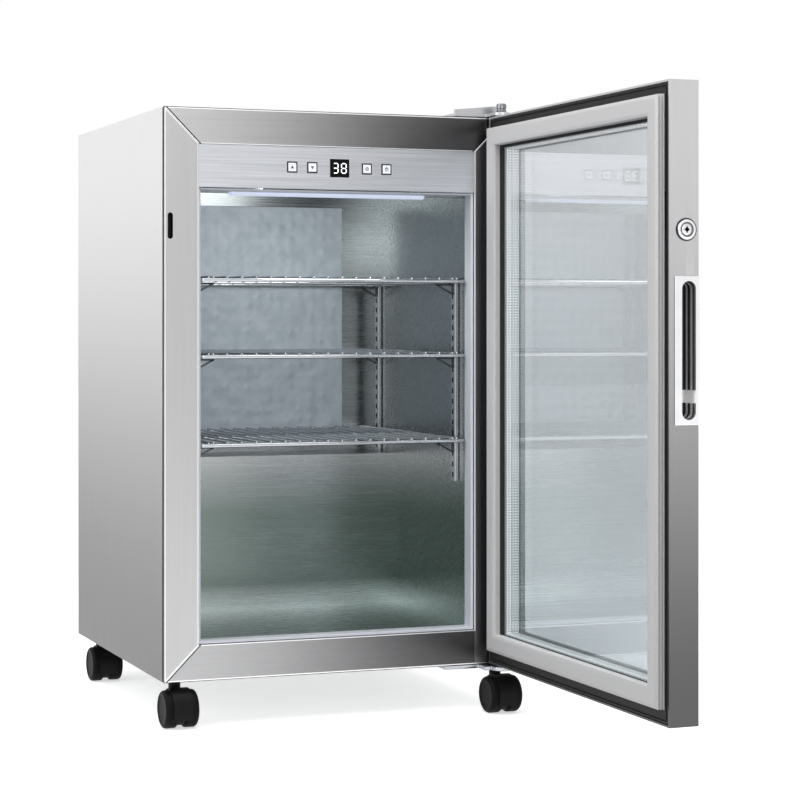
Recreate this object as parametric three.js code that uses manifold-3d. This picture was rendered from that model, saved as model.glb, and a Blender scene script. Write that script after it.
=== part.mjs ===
// Glass-door mini fridge on four swivel casters, door standing open at a right angle.
// Millimetres, +Z up. The cabinet is drawn from its front left bottom corner (x right, y back);
// the finished group is then moved so that its origin is the bottom centre of everything.
import * as THREE from "three";
import { mergeVertices } from "three/addons/utils/BufferGeometryUtils.js";
import Module from "manifold-3d";

const wasm = await Module();
wasm.setup();

// ---- driving dimensions ----
const GAP = 0.3; // clearance between neighbouring pieces
const WIDTH = 457; // cabinet and door, across
const DEPTH = 433; // cabinet, frame face to back
const HEIGHT = 700; // cabinet without casters
const SHEET = 0.8; // outer steel sheets
const FRAME_FACE = 44; // width of the mitred front frame
const FRAME_THICK = 3.5;
const SEAM = 4.5; // dark joint between frame and side panels
const BREAKER_INSET = 2.5;

const TRIM_THICK = 4; // plastic throat, flush with the inside of the liner
const LINER_SHEET = 1;
const TRIM_DEPTH = 20; // plastic throat behind the frame
const BACK_WALL = 81; // insulation behind the cold space above the compressor step
const STEP_REACH = 101; // how far the step stands out from that back wall
const STEP_TOP = 256;
const BAY_WALL = 30; // insulation between the step and the machine bay
const BASE_SHEET = 2;
const BAY_SHEET = 1;
const GRILLE_THICK = 1.5;
const LOUVRES = { rows: 7, tall: 7, pitch: 18, fromSide: 60, fromMiddle: 15, fromTop: 30 };
const INLET = { x: 70, z: 45, wide: 28, tall: 20, flange: 4, depth: 24, wall: 2, proud: 2, hollow: 14 };
const INLET_PIN = { pitch: 7, thick: 2, tall: 6, long: 12, fromMouth: 4 };
const POT = { radius: 58, low: 12, fromSide: 130 };
const POT_PLATE = { halfWide: 76, halfDeep: 60, thick: 4 };
const POT_FOOT = { radius: 9, inset: 12 };
const COIL = { radius: 3, fromBack: 24, left: 110, right: 240, runs: 8, pitch: 22 };

const FASCIA_TALL = 53;
const FASCIA_THICK = 2.5;
const FASCIA_SET_BACK = 0.8; // behind the face of the frame
const HOUSING_DEPTH = 68;
const HOUSING_DROP = 3; // below the fascia
const HOUSING_WALL = 2;
const BUTTON = 13; // square key face
const BUTTON_TRAVEL = 1;
const BUTTON_LIFT = 0.4; // key face in front of the fascia
const BUTTON_PITCH = 26.5;
const BUTTON_GROUP = 36.5; // display centre to the nearest key
const KEY_RISE = 27; // key line above the fascia's lower edge
const DISPLAY = { w: 25, h: 22 };
const KEY_FLANGE = 1.5; // how far a key or window flange reaches behind the fascia
const KEY_FLANGE_THICK = 1;
const KEY_STEM = 5; // square stem that reaches toward the board
const BOARD = { y: 9.5, thick: 1.6, wide: 196, tall: 42 };
const LAMP = { y: 44, halfWide: 8, drop: 4, long: 260 };
const COLD_PLATE = { left: 4, right: 45, thick: 6, aboveStep: 6 }; // gaps to the liner's sides

const TOP_ROOM = 105; // height for standing cans above the top shelf
const STEP_ROOM = 34.5; // bottom shelf above the compressor step
const MIDDLE_SHARE = 0.535; // middle shelf's place between the two others
const SHELF_FRONT = 17;
const SHELF_REAR_GAP = 12; // to the back wall
const RING_WIRE = 5; // diameters of the shelf wires
const BAR_WIRE = 3;
const BAR_PITCH = 19;
const SIDE_BARS = [14, 20]; // the two outermost bars, from the liner's side walls
const WELD = 0.5; // how deep two welded wires sink into each other
const RAIL = { wide: 12, deep: 6, front: 46, rearGap: 41, below: 58.5, topGap: 7 };
const CLIP = { reach: 24, drop: 15, thick: 2.5 };

const DOOR_THICK = 36;
const DOOR_GAP = 10; // door to frame, filled by the gasket
const DOOR_TOP = 0.2; // door below the cabinet's top
const DOOR_FOOT = 1.5; // door above the cabinet's bottom
const PIN_SIDE = 16; // hinge axis from the hinge edge of the door
const PIN_INNER = 10; // hinge axis from the inner face of the door
const PIN_RADIUS = 3.5;
const PIN_FIT = 0.4; // radial play of the pins
const PIN_DEPTH = 16; // how far a pin enters the door
const DOOR_REST = Math.PI / 2; // the door stands open by this angle

const BORDER = 45; // steel border seen from outside
const REBATE = 32; // border behind the glass
const LIP = 2.5; // steel lip round the inner liner
const LINER_THICK = 2;
const LINER_INNER = 42; // liner's inner edge from the door's outline
const GASKET = { side: 10, top: 15, bottom: 18, wide: 23.5 };
const SHOULDER = { wide: 6, drop: 1.4 }; // the sloped outer edge clears the frame in the swing
const PANE = 3.4;
const AIR_SPACE = 8;
const GLASS_STACK = 3 * PANE + 2 * AIR_SPACE + 3 * GAP;
const SPACER_WIDTH = 7;

const LOCK_DROP = 162; // below the top of the cabinet
const LOCK_INNER = 20.6; // lock axis from the inner face of the door
const BARREL = { radius: 9.5, length: 5.6, bezel: 12.5, bezelThick: 1.6 };
const PLUG_RADIUS = 6;
const CAM = { inset: 8.2, thick: 2.5, reach: 38, near: 2, far: 12, hub: 8 };
const CAM_POCKET = { wide: 5.6, below: 10, above: 42 };
const STRIKE = { wide: 6.5, low: 1, high: 33, wall: 1.2, depth: 6.7 };

const HANDLE = { belowLock: 130.5, tall: 161, wide: 30, plate: 1.6, slotTall: 150, slotWide: 17 };
const HANDLE_CUP = { depth: 22, wall: 1.5, y: -13 };

const CASTER_DROP = 57; // cabinet bottom to the floor
const WHEEL_RADIUS = 23;
const WHEEL_WIDTH = 16;
const WEB = 10; // caster body between the two wheels
const TRAIL = 17; // swivel axis to axle
const HOOD = { inner: 23.6, outer: 25.2, halfWidth: 12.5, front: -0.15, back: 0.8 }; // ends in half turns
const WEB_RADIUS = 20;
const BOSS_RADIUS = 7.5;
const PINTLE = { radius: 4.5, fit: 0.4, length: 12 };
const AXLE_RADIUS = 3;
const BRACKET = { thick: 5, topThick: 9, sheet: 4, reach: 84, back: 60, nose: 13, sideInset: 2 };
const ARM = { left: 12, thick: 3, right: 17, half: 12, rise: 6 }; // upper bracket over the door
const PIN_HEAD = { radius: 6.5, straight: 10, tall: 11.4, crown: 5 };

const ROUND = 24; // sides of large round pieces
const SMALL_ROUND = 16;
const WIRE_SIDES = 6;

// ---- places worked out from them ----
const WALL = FRAME_FACE + TRIM_THICK;
const INNER = { x0: WALL, x1: WIDTH - WALL, z0: WALL, z1: HEIGHT - WALL };
const HIGH_DEPTH = DEPTH - BACK_WALL;
const STEP_DEPTH = HIGH_DEPTH - STEP_REACH;
const FASCIA_BOTTOM = HEIGHT - FRAME_FACE - FASCIA_TALL;
const HOUSING_BOTTOM = FASCIA_BOTTOM - HOUSING_DROP;
const KEY_Z = FASCIA_BOTTOM + KEY_RISE;
const LOCK_Z = HEIGHT - LOCK_DROP;
const HANDLE_Z = LOCK_Z - HANDLE.belowLock;
const SHELF_BACK = HIGH_DEPTH - SHELF_REAR_GAP;
const TOP_SHELF = HOUSING_BOTTOM - TOP_ROOM;
const BOTTOM_SHELF = STEP_TOP + STEP_ROOM;
const SHELF_TOPS = {
  top: TOP_SHELF,
  middle: BOTTOM_SHELF + MIDDLE_SHARE * (TOP_SHELF - BOTTOM_SHELF),
  bottom: BOTTOM_SHELF,
};
const MID_X = WIDTH / 2;
const FRAME_BACK = FRAME_THICK + SEAM; // where the side, top and base sheets begin
const PIN = { x: WIDTH - PIN_SIDE, y: -(DOOR_GAP + PIN_INNER) };
const DOOR = {
  hinge: PIN_SIDE, handle: PIN_SIDE - WIDTH, inner: PIN_INNER, outer: PIN_INNER - DOOR_THICK,
  z0: DOOR_FOOT, z1: HEIGHT - DOOR_TOP,
};
const LOCK_Y = DOOR.inner - LOCK_INNER;
const CAM_X = DOOR.handle + CAM.inset;
const AXLE_Z = WHEEL_RADIUS - CASTER_DROP;
const TRIM_FRONT = FRAME_THICK + 0.1;
const TRIM_BACK = TRIM_FRONT + TRIM_DEPTH;
const BAY = {
  front: STEP_DEPTH + LINER_SHEET + BAY_WALL,
  top: STEP_TOP - LINER_SHEET - BAY_WALL,
  side: SHEET + GAP,
};
const BRACKET_UNDER = -GAP - BRACKET.thick;
const CASTERS = {
  front_left: { x: 22, y: 30, seat: -GAP, pintle: PINTLE.length },
  front_right: { x: WIDTH - 21, y: PIN.y + 9, seat: BRACKET_UNDER - GAP, pintle: BRACKET.thick },
  rear_left: { x: 22, y: DEPTH - 44, seat: -GAP, pintle: PINTLE.length },
  rear_right: { x: WIDTH - 24, y: DEPTH - 44, seat: -GAP, pintle: PINTLE.length },
};

// ---- finishes ----
const finish = (color, roughness, metalness) =>
  new THREE.MeshStandardMaterial({ color, roughness, metalness });
const STEEL = [0xb9bbbe, 0.35, 1];
const LIGHT_STEEL = [0xd2d3d6, 0.4, 1];
const CHROME = [0xd8dade, 0.12, 1];
const BLACK = [0x1c1c1d, 0.55, 0];
const WHITE = [0xe9eaf2, 0.45, 0];
const GREY = [0xc6c6c6, 0.6, 0];
const GLASS = [0xcfd8dc, 0.08, 0];

// ---- solids: thin wrappers round three.js geometry and the boolean library ----

// A closed three.js geometry as a solid that can be joined and cut.
function solidOf(geometry) {
  const bare = geometry.clone();
  for (const name of Object.keys(bare.attributes)) {
    if (name !== "position") bare.deleteAttribute(name);
  }
  const merged = mergeVertices(bare, 1e-4);
  return new wasm.Manifold(new wasm.Mesh({
    numProp: 3,
    vertProperties: new Float32Array(merged.attributes.position.array),
    triVerts: new Uint32Array(merged.index.array),
  }));
}

function geometryOf(solid) {
  const mesh = solid.getMesh();
  const geometry = new THREE.BufferGeometry();
  geometry.setAttribute("position", new THREE.BufferAttribute(mesh.vertProperties, 3));
  geometry.setIndex(new THREE.BufferAttribute(mesh.triVerts, 1));
  geometry.computeVertexNormals();
  return geometry;
}

const join = (...solids) => solids.reduce((whole, next) => whole.add(next));
const cut = (solid, ...tools) => tools.reduce((left, tool) => left.subtract(tool), solid);

// A box between two values on each axis.
function box([x0, x1], [y0, y1], [z0, z1]) {
  const geometry = new THREE.BoxGeometry(x1 - x0, y1 - y0, z1 - z0);
  return solidOf(geometry.translate((x0 + x1) / 2, (y0 + y1) / 2, (z0 + z1) / 2));
}

// A flat shape pushed along an axis: (x, z) along y, (y, z) along x or (x, y) along z.
function prism(shape, axis, from, to) {
  const geometry = new THREE.ExtrudeGeometry(shape, {
    depth: to - from, bevelEnabled: false, curveSegments: 8,
  });
  if (axis === "y") geometry.rotateX(Math.PI / 2).translate(0, to, 0);
  if (axis === "x") geometry.rotateZ(Math.PI / 2).rotateY(Math.PI / 2).translate(from, 0, 0);
  if (axis === "z") geometry.translate(0, 0, from);
  return solidOf(geometry);
}

const outline = (points) => new THREE.Shape(points.map(([u, v]) => new THREE.Vector2(u, v)));

// A cylinder along an axis through the point centre, from one value to another.
function cylinder(axis, radius, from, to, [x, y, z], sides = SMALL_ROUND) {
  const geometry = new THREE.CylinderGeometry(radius, radius, to - from, sides);
  const middle = (from + to) / 2;
  if (axis === "x") geometry.rotateZ(-Math.PI / 2).translate(middle, y, z);
  if (axis === "y") geometry.translate(x, middle, z);
  if (axis === "z") geometry.rotateX(Math.PI / 2).translate(x, y, middle);
  return solidOf(geometry);
}

// A solid of revolution about the vertical through (x, y); profile holds [radius, z] from the axis.
function turned(profile, [x, y], sides = SMALL_ROUND) {
  const points = profile.map(([r, z]) => new THREE.Vector2(r, z));
  const geometry = new THREE.LatheGeometry(points, sides);
  return solidOf(geometry.rotateX(Math.PI / 2).translate(x, y, 0));
}

// A straight round rod between two points.
function rod(a, b, radius, sides) {
  const from = new THREE.Vector3(...a);
  const along = new THREE.Vector3(...b).sub(from);
  const geometry = new THREE.CylinderGeometry(radius, radius, along.length(), sides);
  const turn = new THREE.Quaternion().setFromUnitVectors(
    new THREE.Vector3(0, 1, 0), along.clone().normalize());
  geometry.applyQuaternion(turn).translate(...from.addScaledVector(along, 0.5).toArray());
  return solidOf(geometry);
}

// A bent rod: straight lengths with a ball at each bend.
function bentRod(points, radius, sides = 8) {
  const lengths = points.slice(1).map((point, i) => rod(points[i], point, radius, sides));
  const bends = points.slice(1, -1).map(([x, y, z]) =>
    solidOf(new THREE.SphereGeometry(radius, sides, sides / 2).translate(x, y, z)));
  return join(...lengths, ...bends);
}

// An upright slot with round ends, in the plane across the given axis.
function slot(axis, wide, tall, [u, v], from, to) {
  const shape = new THREE.Shape();
  const r = wide / 2;
  const straight = tall / 2 - r;
  shape.absarc(u, v + straight, r, 0, Math.PI);
  shape.absarc(u, v - straight, r, Math.PI, 2 * Math.PI);
  return prism(shape, axis, from, to);
}

const root = new THREE.Group();
const doorGroup = new THREE.Group();

// Adds one named piece to a group of the scene.
function place(group, name, solid, look) {
  const mesh = new THREE.Mesh(geometryOf(solid), finish(...look));
  mesh.name = name;
  group.add(mesh);
  return mesh;
}

// ---- cabinet shell ----

// Two side sheets, the top sheet between them, the back sheet above the machine bay.
function addOuterSheets() {
  const between = [SHEET + GAP, WIDTH - SHEET - GAP];
  const back = DEPTH - SHEET;
  place(root, "left_side_panel", box([0, SHEET], [FRAME_BACK, DEPTH], [0, HEIGHT]), STEEL);
  place(root, "right_side_panel",
    box([WIDTH - SHEET, WIDTH], [FRAME_BACK, DEPTH], [0, HEIGHT]), STEEL);
  place(root, "top_panel", box(between, [FRAME_BACK, DEPTH], [HEIGHT - SHEET, HEIGHT]), STEEL);
  place(root, "rear_panel",
    box(between, [back, DEPTH], [BAY.top + GAP, HEIGHT - SHEET - GAP]), STEEL);
}

// The base sheet, pierced for the caster pintles that enter it.
function addBasePlate() {
  const sheet = box(
    [SHEET + GAP, WIDTH - SHEET - GAP], [FRAME_BACK, DEPTH - SHEET - GAP], [0, BASE_SHEET]);
  place(root, "base_plate", cut(sheet, ...pintleHoles(PINTLE.fit, -1, BASE_SHEET + 1)), STEEL);
}

// Holes round every pintle that stands under the base.
function pintleHoles(play, from, to) {
  return Object.values(CASTERS)
    .filter((caster) => caster.y > FRAME_BACK)
    .map((caster) => cylinder("z", PINTLE.radius + play, from, to, [caster.x, caster.y, 0]));
}

// Four members of the front frame: mitred, but for the lower right corner, which is butted.
function addFrontFrame() {
  const half = GAP / 2;
  const member = (points) => prism(outline(points), "y", 0, FRAME_THICK);
  const inner = { left: FRAME_FACE, right: WIDTH - FRAME_FACE, low: FRAME_FACE, high: HEIGHT - FRAME_FACE };
  const left = member([
    [0, half], [inner.left, inner.low + half], [inner.left, inner.high - half], [0, HEIGHT - half],
  ]);
  const right = member([
    [inner.right, 0], [WIDTH, 0], [WIDTH, HEIGHT - half], [inner.right, inner.high - half],
  ]);
  const bottom = member([
    [half, 0], [inner.right - GAP, 0], [inner.right - GAP, inner.low], [inner.left + half, inner.low],
  ]);
  const top = member([
    [inner.left + half, inner.high], [inner.right - half, inner.high],
    [WIDTH - half, HEIGHT], [half, HEIGHT],
  ]);
  place(root, "frame_left_stile", cut(left, strikeSlot(-1, FRAME_THICK + 1)), LIGHT_STEEL);
  place(root, "frame_right_stile", right, LIGHT_STEEL);
  place(root, "frame_bottom_rail", bottom, LIGHT_STEEL);
  place(root, "frame_top_rail", top, LIGHT_STEEL);
}

// The upright slot in the left stile that the lock cam enters.
function strikeSlot(from, to) {
  const middle = LOCK_Z + (STRIKE.low + STRIKE.high) / 2;
  return slot("y", STRIKE.wide, STRIKE.high - STRIKE.low, [CAM.inset, middle], from, to);
}

// The block that the strike cup fills, grown by a clearance.
function strikeBlock(grow) {
  const side = STRIKE.wide / 2 + STRIKE.wall + grow;
  const ends = STRIKE.wall + grow;
  const front = FRAME_THICK + GAP;
  return box(
    [CAM.inset - side, CAM.inset + side],
    [front - grow, front + STRIKE.depth + STRIKE.wall + grow],
    [LOCK_Z + STRIKE.low - ends, LOCK_Z + STRIKE.high + ends]);
}

// A blind plastic cup behind the strike slot.
function addStrikePocket() {
  const cup = cut(strikeBlock(0), strikeSlot(0, FRAME_THICK + GAP + STRIKE.depth));
  place(root, "strike_pocket", cup, BLACK);
}

// The black plastic ring that parts the warm frame from the cold throat.
function addThermalBreak() {
  const y = [FRAME_THICK + GAP, FRAME_BACK - GAP];
  const ring = cut(
    box([BREAKER_INSET, WIDTH - BREAKER_INSET], y, [BREAKER_INSET, HEIGHT - BREAKER_INSET]),
    box([FRAME_FACE, WIDTH - FRAME_FACE], [0, FRAME_BACK], [FRAME_FACE, HEIGHT - FRAME_FACE]),
    strikeBlock(GAP));
  place(root, "thermal_break", ring, BLACK);
}

// The cold space, grown by a wall thickness: deep above the compressor step, shallow below it.
function coldSpace(grow, front) {
  const profile = outline([
    [front, INNER.z0 - grow], [STEP_DEPTH + grow, INNER.z0 - grow],
    [STEP_DEPTH + grow, STEP_TOP - grow], [HIGH_DEPTH + grow, STEP_TOP - grow],
    [HIGH_DEPTH + grow, INNER.z1 + grow], [front, INNER.z1 + grow],
  ]);
  return prism(profile, "x", INNER.x0 - grow, INNER.x1 + grow);
}

// The stainless tub that lines the cold space.
function addInnerLiner() {
  const front = TRIM_BACK + GAP;
  const tub = cut(coldSpace(LINER_SHEET, front), coldSpace(0, front - 1));
  place(root, "inner_liner", tub, STEEL);
}

// The foam that fills the walls, with the machine bay left out at the back.
function addFoam() {
  const block = box(
    [SHEET + GAP, WIDTH - SHEET - GAP], [FRAME_BACK, DEPTH - SHEET - GAP],
    [BASE_SHEET + GAP, HEIGHT - SHEET - GAP]);
  const throat = box(
    [FRAME_FACE, WIDTH - FRAME_FACE], [0, TRIM_BACK + GAP], [FRAME_FACE, HEIGHT - FRAME_FACE]);
  const bay = box([-1, WIDTH + 1], [BAY.front - GAP, DEPTH], [0, BAY.top + GAP]);
  const foam = cut(
    block, throat, bay, coldSpace(LINER_SHEET + GAP, TRIM_BACK), strikeBlock(GAP),
    ...pintleHoles(2, 0, PINTLE.length + 2));
  place(root, "foam_insulation", foam, [0xe8d9a0, 0.9, 0]);
}

// The white plastic throat between frame and liner.
function addThroatTrim() {
  const edge = FRAME_FACE + GAP;
  const ring = cut(
    box([edge, WIDTH - edge], [TRIM_FRONT + GAP, TRIM_BACK], [edge, HEIGHT - edge]),
    box([INNER.x0, INNER.x1], [0, TRIM_BACK + 1], [INNER.z0, INNER.z1]));
  place(root, "throat_trim", ring, WHITE);
}

// ---- machine bay at the lower back ----

// The bent sheet that closes the bay toward the foam.
function addBayPanel() {
  const front = BAY.front + BAY_SHEET;
  const under = BAY.top - BAY_SHEET;
  const back = DEPTH - SHEET - GAP;
  const profile = outline([
    [BAY.front, BASE_SHEET + GAP], [front, BASE_SHEET + GAP], [front, under],
    [back, under], [back, BAY.top], [BAY.front, BAY.top],
  ]);
  const panel = prism(profile, "x", BAY.side + GAP, WIDTH - BAY.side - GAP);
  place(root, "machine_bay_panel", panel, STEEL);
}

// The louvred cover over the bay, with a window for the power inlet.
function addRearGrille() {
  const cover = box(
    [BAY.side, WIDTH - BAY.side], [DEPTH - GRILLE_THICK, DEPTH],
    [BASE_SHEET + GAP, BAY.top - BAY_SHEET - GAP]);
  const louvres = [];
  for (let row = 0; row < LOUVRES.rows; row += 1) {
    const low = BAY.top - LOUVRES.fromTop - row * LOUVRES.pitch;
    const z = [low, low + LOUVRES.tall];
    const left = [LOUVRES.fromSide, MID_X - LOUVRES.fromMiddle];
    const right = left.map((x) => WIDTH - x).reverse();
    louvres.push(box(left, [0, DEPTH + 1], z), box(right, [0, DEPTH + 1], z));
  }
  const side = INLET.wide / 2 + GAP;
  const rise = INLET.tall / 2 + GAP;
  const window = box(
    [INLET.x - side, INLET.x + side], [0, DEPTH + 1], [INLET.z - rise, INLET.z + rise]);
  place(root, "rear_grille", cut(cover, window, ...louvres), BLACK);
}

// A three-pin inlet socket standing in the grille.
function addPowerInlet() {
  const body = (grow) => [
    [INLET.x - INLET.wide / 2 - grow, INLET.x + INLET.wide / 2 + grow],
    [INLET.z - INLET.tall / 2 - grow, INLET.z + INLET.tall / 2 + grow],
  ];
  const [bx, bz] = body(0);
  const [fx, fz] = body(INLET.flange);
  const [hx, hz] = body(-INLET.wall);
  const mouth = DEPTH + INLET.proud;
  const pinEnd = DEPTH - INLET_PIN.fromMouth;
  const pins = [-1, 0, 1].map((step) => {
    const x = INLET.x + step * INLET_PIN.pitch;
    return box(
      [x - INLET_PIN.thick / 2, x + INLET_PIN.thick / 2], [pinEnd - INLET_PIN.long, pinEnd],
      [INLET.z - INLET_PIN.tall / 2, INLET.z + INLET_PIN.tall / 2]);
  });
  const shell = join(
    box(bx, [DEPTH - INLET.depth, DEPTH + INLET.proud / 2], bz), box(fx, [DEPTH + GAP, mouth], fz));
  const socket = join(cut(shell, box(hx, [DEPTH - INLET.hollow, mouth + 1], hz)), ...pins);
  place(root, "power_inlet", socket, BLACK);
}

// The domed compressor pot on its footed plate.
function addCompressor() {
  const [x, y] = [WIDTH - POT.fromSide, (BAY.front + DEPTH) / 2 - BASE_SHEET];
  const { radius, low } = POT;
  const belly = 1.5 * radius;
  const pot = turned([
    [0, low], [0.8 * radius, low], [radius - 2, 2 * low], [radius, 5 * low], [radius, low + belly],
    [radius - 4, 2.2 * radius], [0.65 * radius, 2.5 * radius], [0, 2.6 * radius],
  ], [x, y], ROUND);
  const under = low - POT_PLATE.thick / 2;
  const plate = box(
    [x - POT_PLATE.halfWide, x + POT_PLATE.halfWide], [y - POT_PLATE.halfDeep, y + POT_PLATE.halfDeep],
    [under, under + POT_PLATE.thick]);
  const across = POT_PLATE.halfWide - POT_FOOT.inset;
  const along = POT_PLATE.halfDeep - POT_FOOT.inset;
  const feet = [-1, 1].flatMap((i) => [-1, 1].map((j) =>
    cylinder("z", POT_FOOT.radius, BASE_SHEET + GAP, low, [x + i * across, y + j * along, 0])));
  place(root, "compressor", join(pot, plate, ...feet), BLACK);
}

// The condenser: one tube folded back and forth, its lowest run lying on the base.
function addCondenser() {
  const y = DEPTH - COIL.fromBack;
  const points = [];
  for (let run = 0; run < COIL.runs; run += 1) {
    const z = BASE_SHEET + GAP + COIL.radius + run * COIL.pitch;
    const [from, to] = run % 2 === 0 ? [COIL.left, COIL.right] : [COIL.right, COIL.left];
    points.push([from, y, z], [to, y, z]);
  }
  place(root, "condenser_coil", bentRod(points, COIL.radius), BLACK);
}

// ---- controls ----

const KEYS = {
  button_up: MID_X - BUTTON_GROUP - BUTTON_PITCH,
  button_down: MID_X - BUTTON_GROUP,
  button_light: MID_X + BUTTON_GROUP,
  button_power: MID_X + BUTTON_GROUP + BUTTON_PITCH,
};

// A block centred on the key line.
function onKeyLine(x, w, h, y) {
  return box([x - w / 2, x + w / 2], y, [KEY_Z - h / 2, KEY_Z + h / 2]);
}

// The brushed strip above the cold space, pierced for the keys and the window.
function addFascia() {
  const edge = FRAME_FACE + GAP;
  const y = [FASCIA_SET_BACK, FASCIA_SET_BACK + FASCIA_THICK];
  const through = [-1, FRAME_BACK];
  const keys = Object.values(KEYS).map((x) =>
    onKeyLine(x, BUTTON + 2 * GAP, BUTTON + 2 * GAP, through));
  const window = onKeyLine(MID_X, DISPLAY.w + 2 * GAP, DISPLAY.h + 2 * GAP, through);
  const strip = box([edge, WIDTH - edge], y, [FASCIA_BOTTOM, HEIGHT - edge]);
  place(root, "control_fascia", cut(strip, window, ...keys), LIGHT_STEEL);
}

const FASCIA_REAR = FASCIA_SET_BACK + FASCIA_THICK;

// The four keys, each held behind the fascia by its flange and reaching toward the board.
function addButtons() {
  const flange = BUTTON + 2 * KEY_FLANGE;
  const behind = FASCIA_REAR + GAP;
  const stemEnd = BOARD.y - BUTTON_TRAVEL - GAP;
  for (const [name, x] of Object.entries(KEYS)) {
    const key = join(
      onKeyLine(x, BUTTON, BUTTON, [FASCIA_SET_BACK - BUTTON_LIFT, behind]),
      onKeyLine(x, flange, flange, [behind, behind + KEY_FLANGE_THICK]),
      onKeyLine(x, KEY_STEM, KEY_STEM, [behind + KEY_FLANGE_THICK, stemEnd]));
    place(root, name, key, WHITE);
  }
}

// The dark window of the two-digit display.
function addDisplayWindow() {
  const behind = FASCIA_REAR + GAP;
  const window = join(
    onKeyLine(MID_X, DISPLAY.w, DISPLAY.h, [FASCIA_SET_BACK, behind]),
    onKeyLine(
      MID_X, DISPLAY.w + 2 * KEY_FLANGE, DISPLAY.h + 2 * KEY_FLANGE,
      [behind, behind + KEY_FLANGE_THICK]));
  place(root, "display_window", window, [0x0a0b0d, 0.1, 0]);
}

// The box behind the fascia, and the board that stands on its floor.
function addControlHousing() {
  const x = [INNER.x0 + GAP, INNER.x1 - GAP];
  const top = INNER.z1 - GAP;
  const wall = HOUSING_WALL;
  const front = TRIM_FRONT + GAP;
  const shell = cut(
    box(x, [front, HOUSING_DEPTH], [HOUSING_BOTTOM, top]),
    box([x[0] + wall, x[1] - wall], [0, HOUSING_DEPTH - wall], [HOUSING_BOTTOM + wall, top - wall]));
  place(root, "control_housing", shell, WHITE);
  const floor = HOUSING_BOTTOM + wall + GAP;
  const board = box(
    [MID_X - BOARD.wide / 2, MID_X + BOARD.wide / 2], [BOARD.y, BOARD.y + BOARD.thick],
    [floor, floor + BOARD.tall]);
  place(root, "control_board", board, [0x1f5a3a, 0.5, 0]);
}

// The frosted cover of the lamp under the housing.
function addLampCover() {
  const [front, back] = [LAMP.y - LAMP.halfWide, LAMP.y + LAMP.halfWide];
  const top = HOUSING_BOTTOM - GAP;
  const low = top - LAMP.drop;
  const section = new THREE.Shape();
  section.moveTo(front, top);
  section.quadraticCurveTo(front, low, LAMP.y, low);
  section.quadraticCurveTo(back, low, back, top);
  const cover = prism(section, "x", MID_X - LAMP.long / 2, MID_X + LAMP.long / 2);
  place(root, "lamp_cover", cover, WHITE);
}

// ---- inside the cold space ----

// The cold plate on the back wall.
function addEvaporator() {
  const plate = box(
    [INNER.x0 + COLD_PLATE.left, INNER.x1 - COLD_PLATE.right],
    [HIGH_DEPTH - COLD_PLATE.thick, HIGH_DEPTH - GAP],
    [STEP_TOP + COLD_PLATE.aboveStep, HOUSING_BOTTOM]);
  place(root, "evaporator_plate", plate, [0xb7c3c8, 0.45, 0.6]);
}

// Middle of a shelf's ring wire, below the bars that carry the load.
const ringHeight = (top) => top - BAR_WIRE + WELD - RING_WIRE / 2;

// One upright rail with a triangular clip under each shelf; side is +1 on the left wall.
function shelfRail(side, y, bottom) {
  const wall = side > 0 ? INNER.x0 + GAP : INNER.x1 - GAP;
  const span = (from, to) => [wall + side * from, wall + side * to].sort((a, b) => a - b);
  const upright = box(
    span(0, RAIL.deep), [y - RAIL.wide / 2, y + RAIL.wide / 2], [bottom, TOP_SHELF - RAIL.topGap]);
  const clips = Object.values(SHELF_TOPS).map((shelfTop) => {
    const top = ringHeight(shelfTop) - RING_WIRE / 2 - GAP;
    const heel = wall + side * (RAIL.deep - 1);
    const tip = wall + side * (RAIL.deep + CLIP.reach);
    const points = [[heel, top], [heel, top - CLIP.drop], [tip, top - 2], [tip, top]];
    const shape = outline(side > 0 ? points : points.reverse());
    return prism(shape, "y", y - CLIP.thick / 2, y + CLIP.thick / 2);
  });
  return join(upright, ...clips);
}

function addShelfRails() {
  const rear = [HIGH_DEPTH - RAIL.rearGap, STEP_TOP + GAP];
  const front = [RAIL.front, BOTTOM_SHELF - RAIL.below];
  place(root, "shelf_rail_front_left", shelfRail(1, ...front), CHROME);
  place(root, "shelf_rail_front_right", shelfRail(-1, ...front), CHROME);
  place(root, "shelf_rail_rear_left", shelfRail(1, ...rear), CHROME);
  place(root, "shelf_rail_rear_right", shelfRail(-1, ...rear), CHROME);
}

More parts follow.
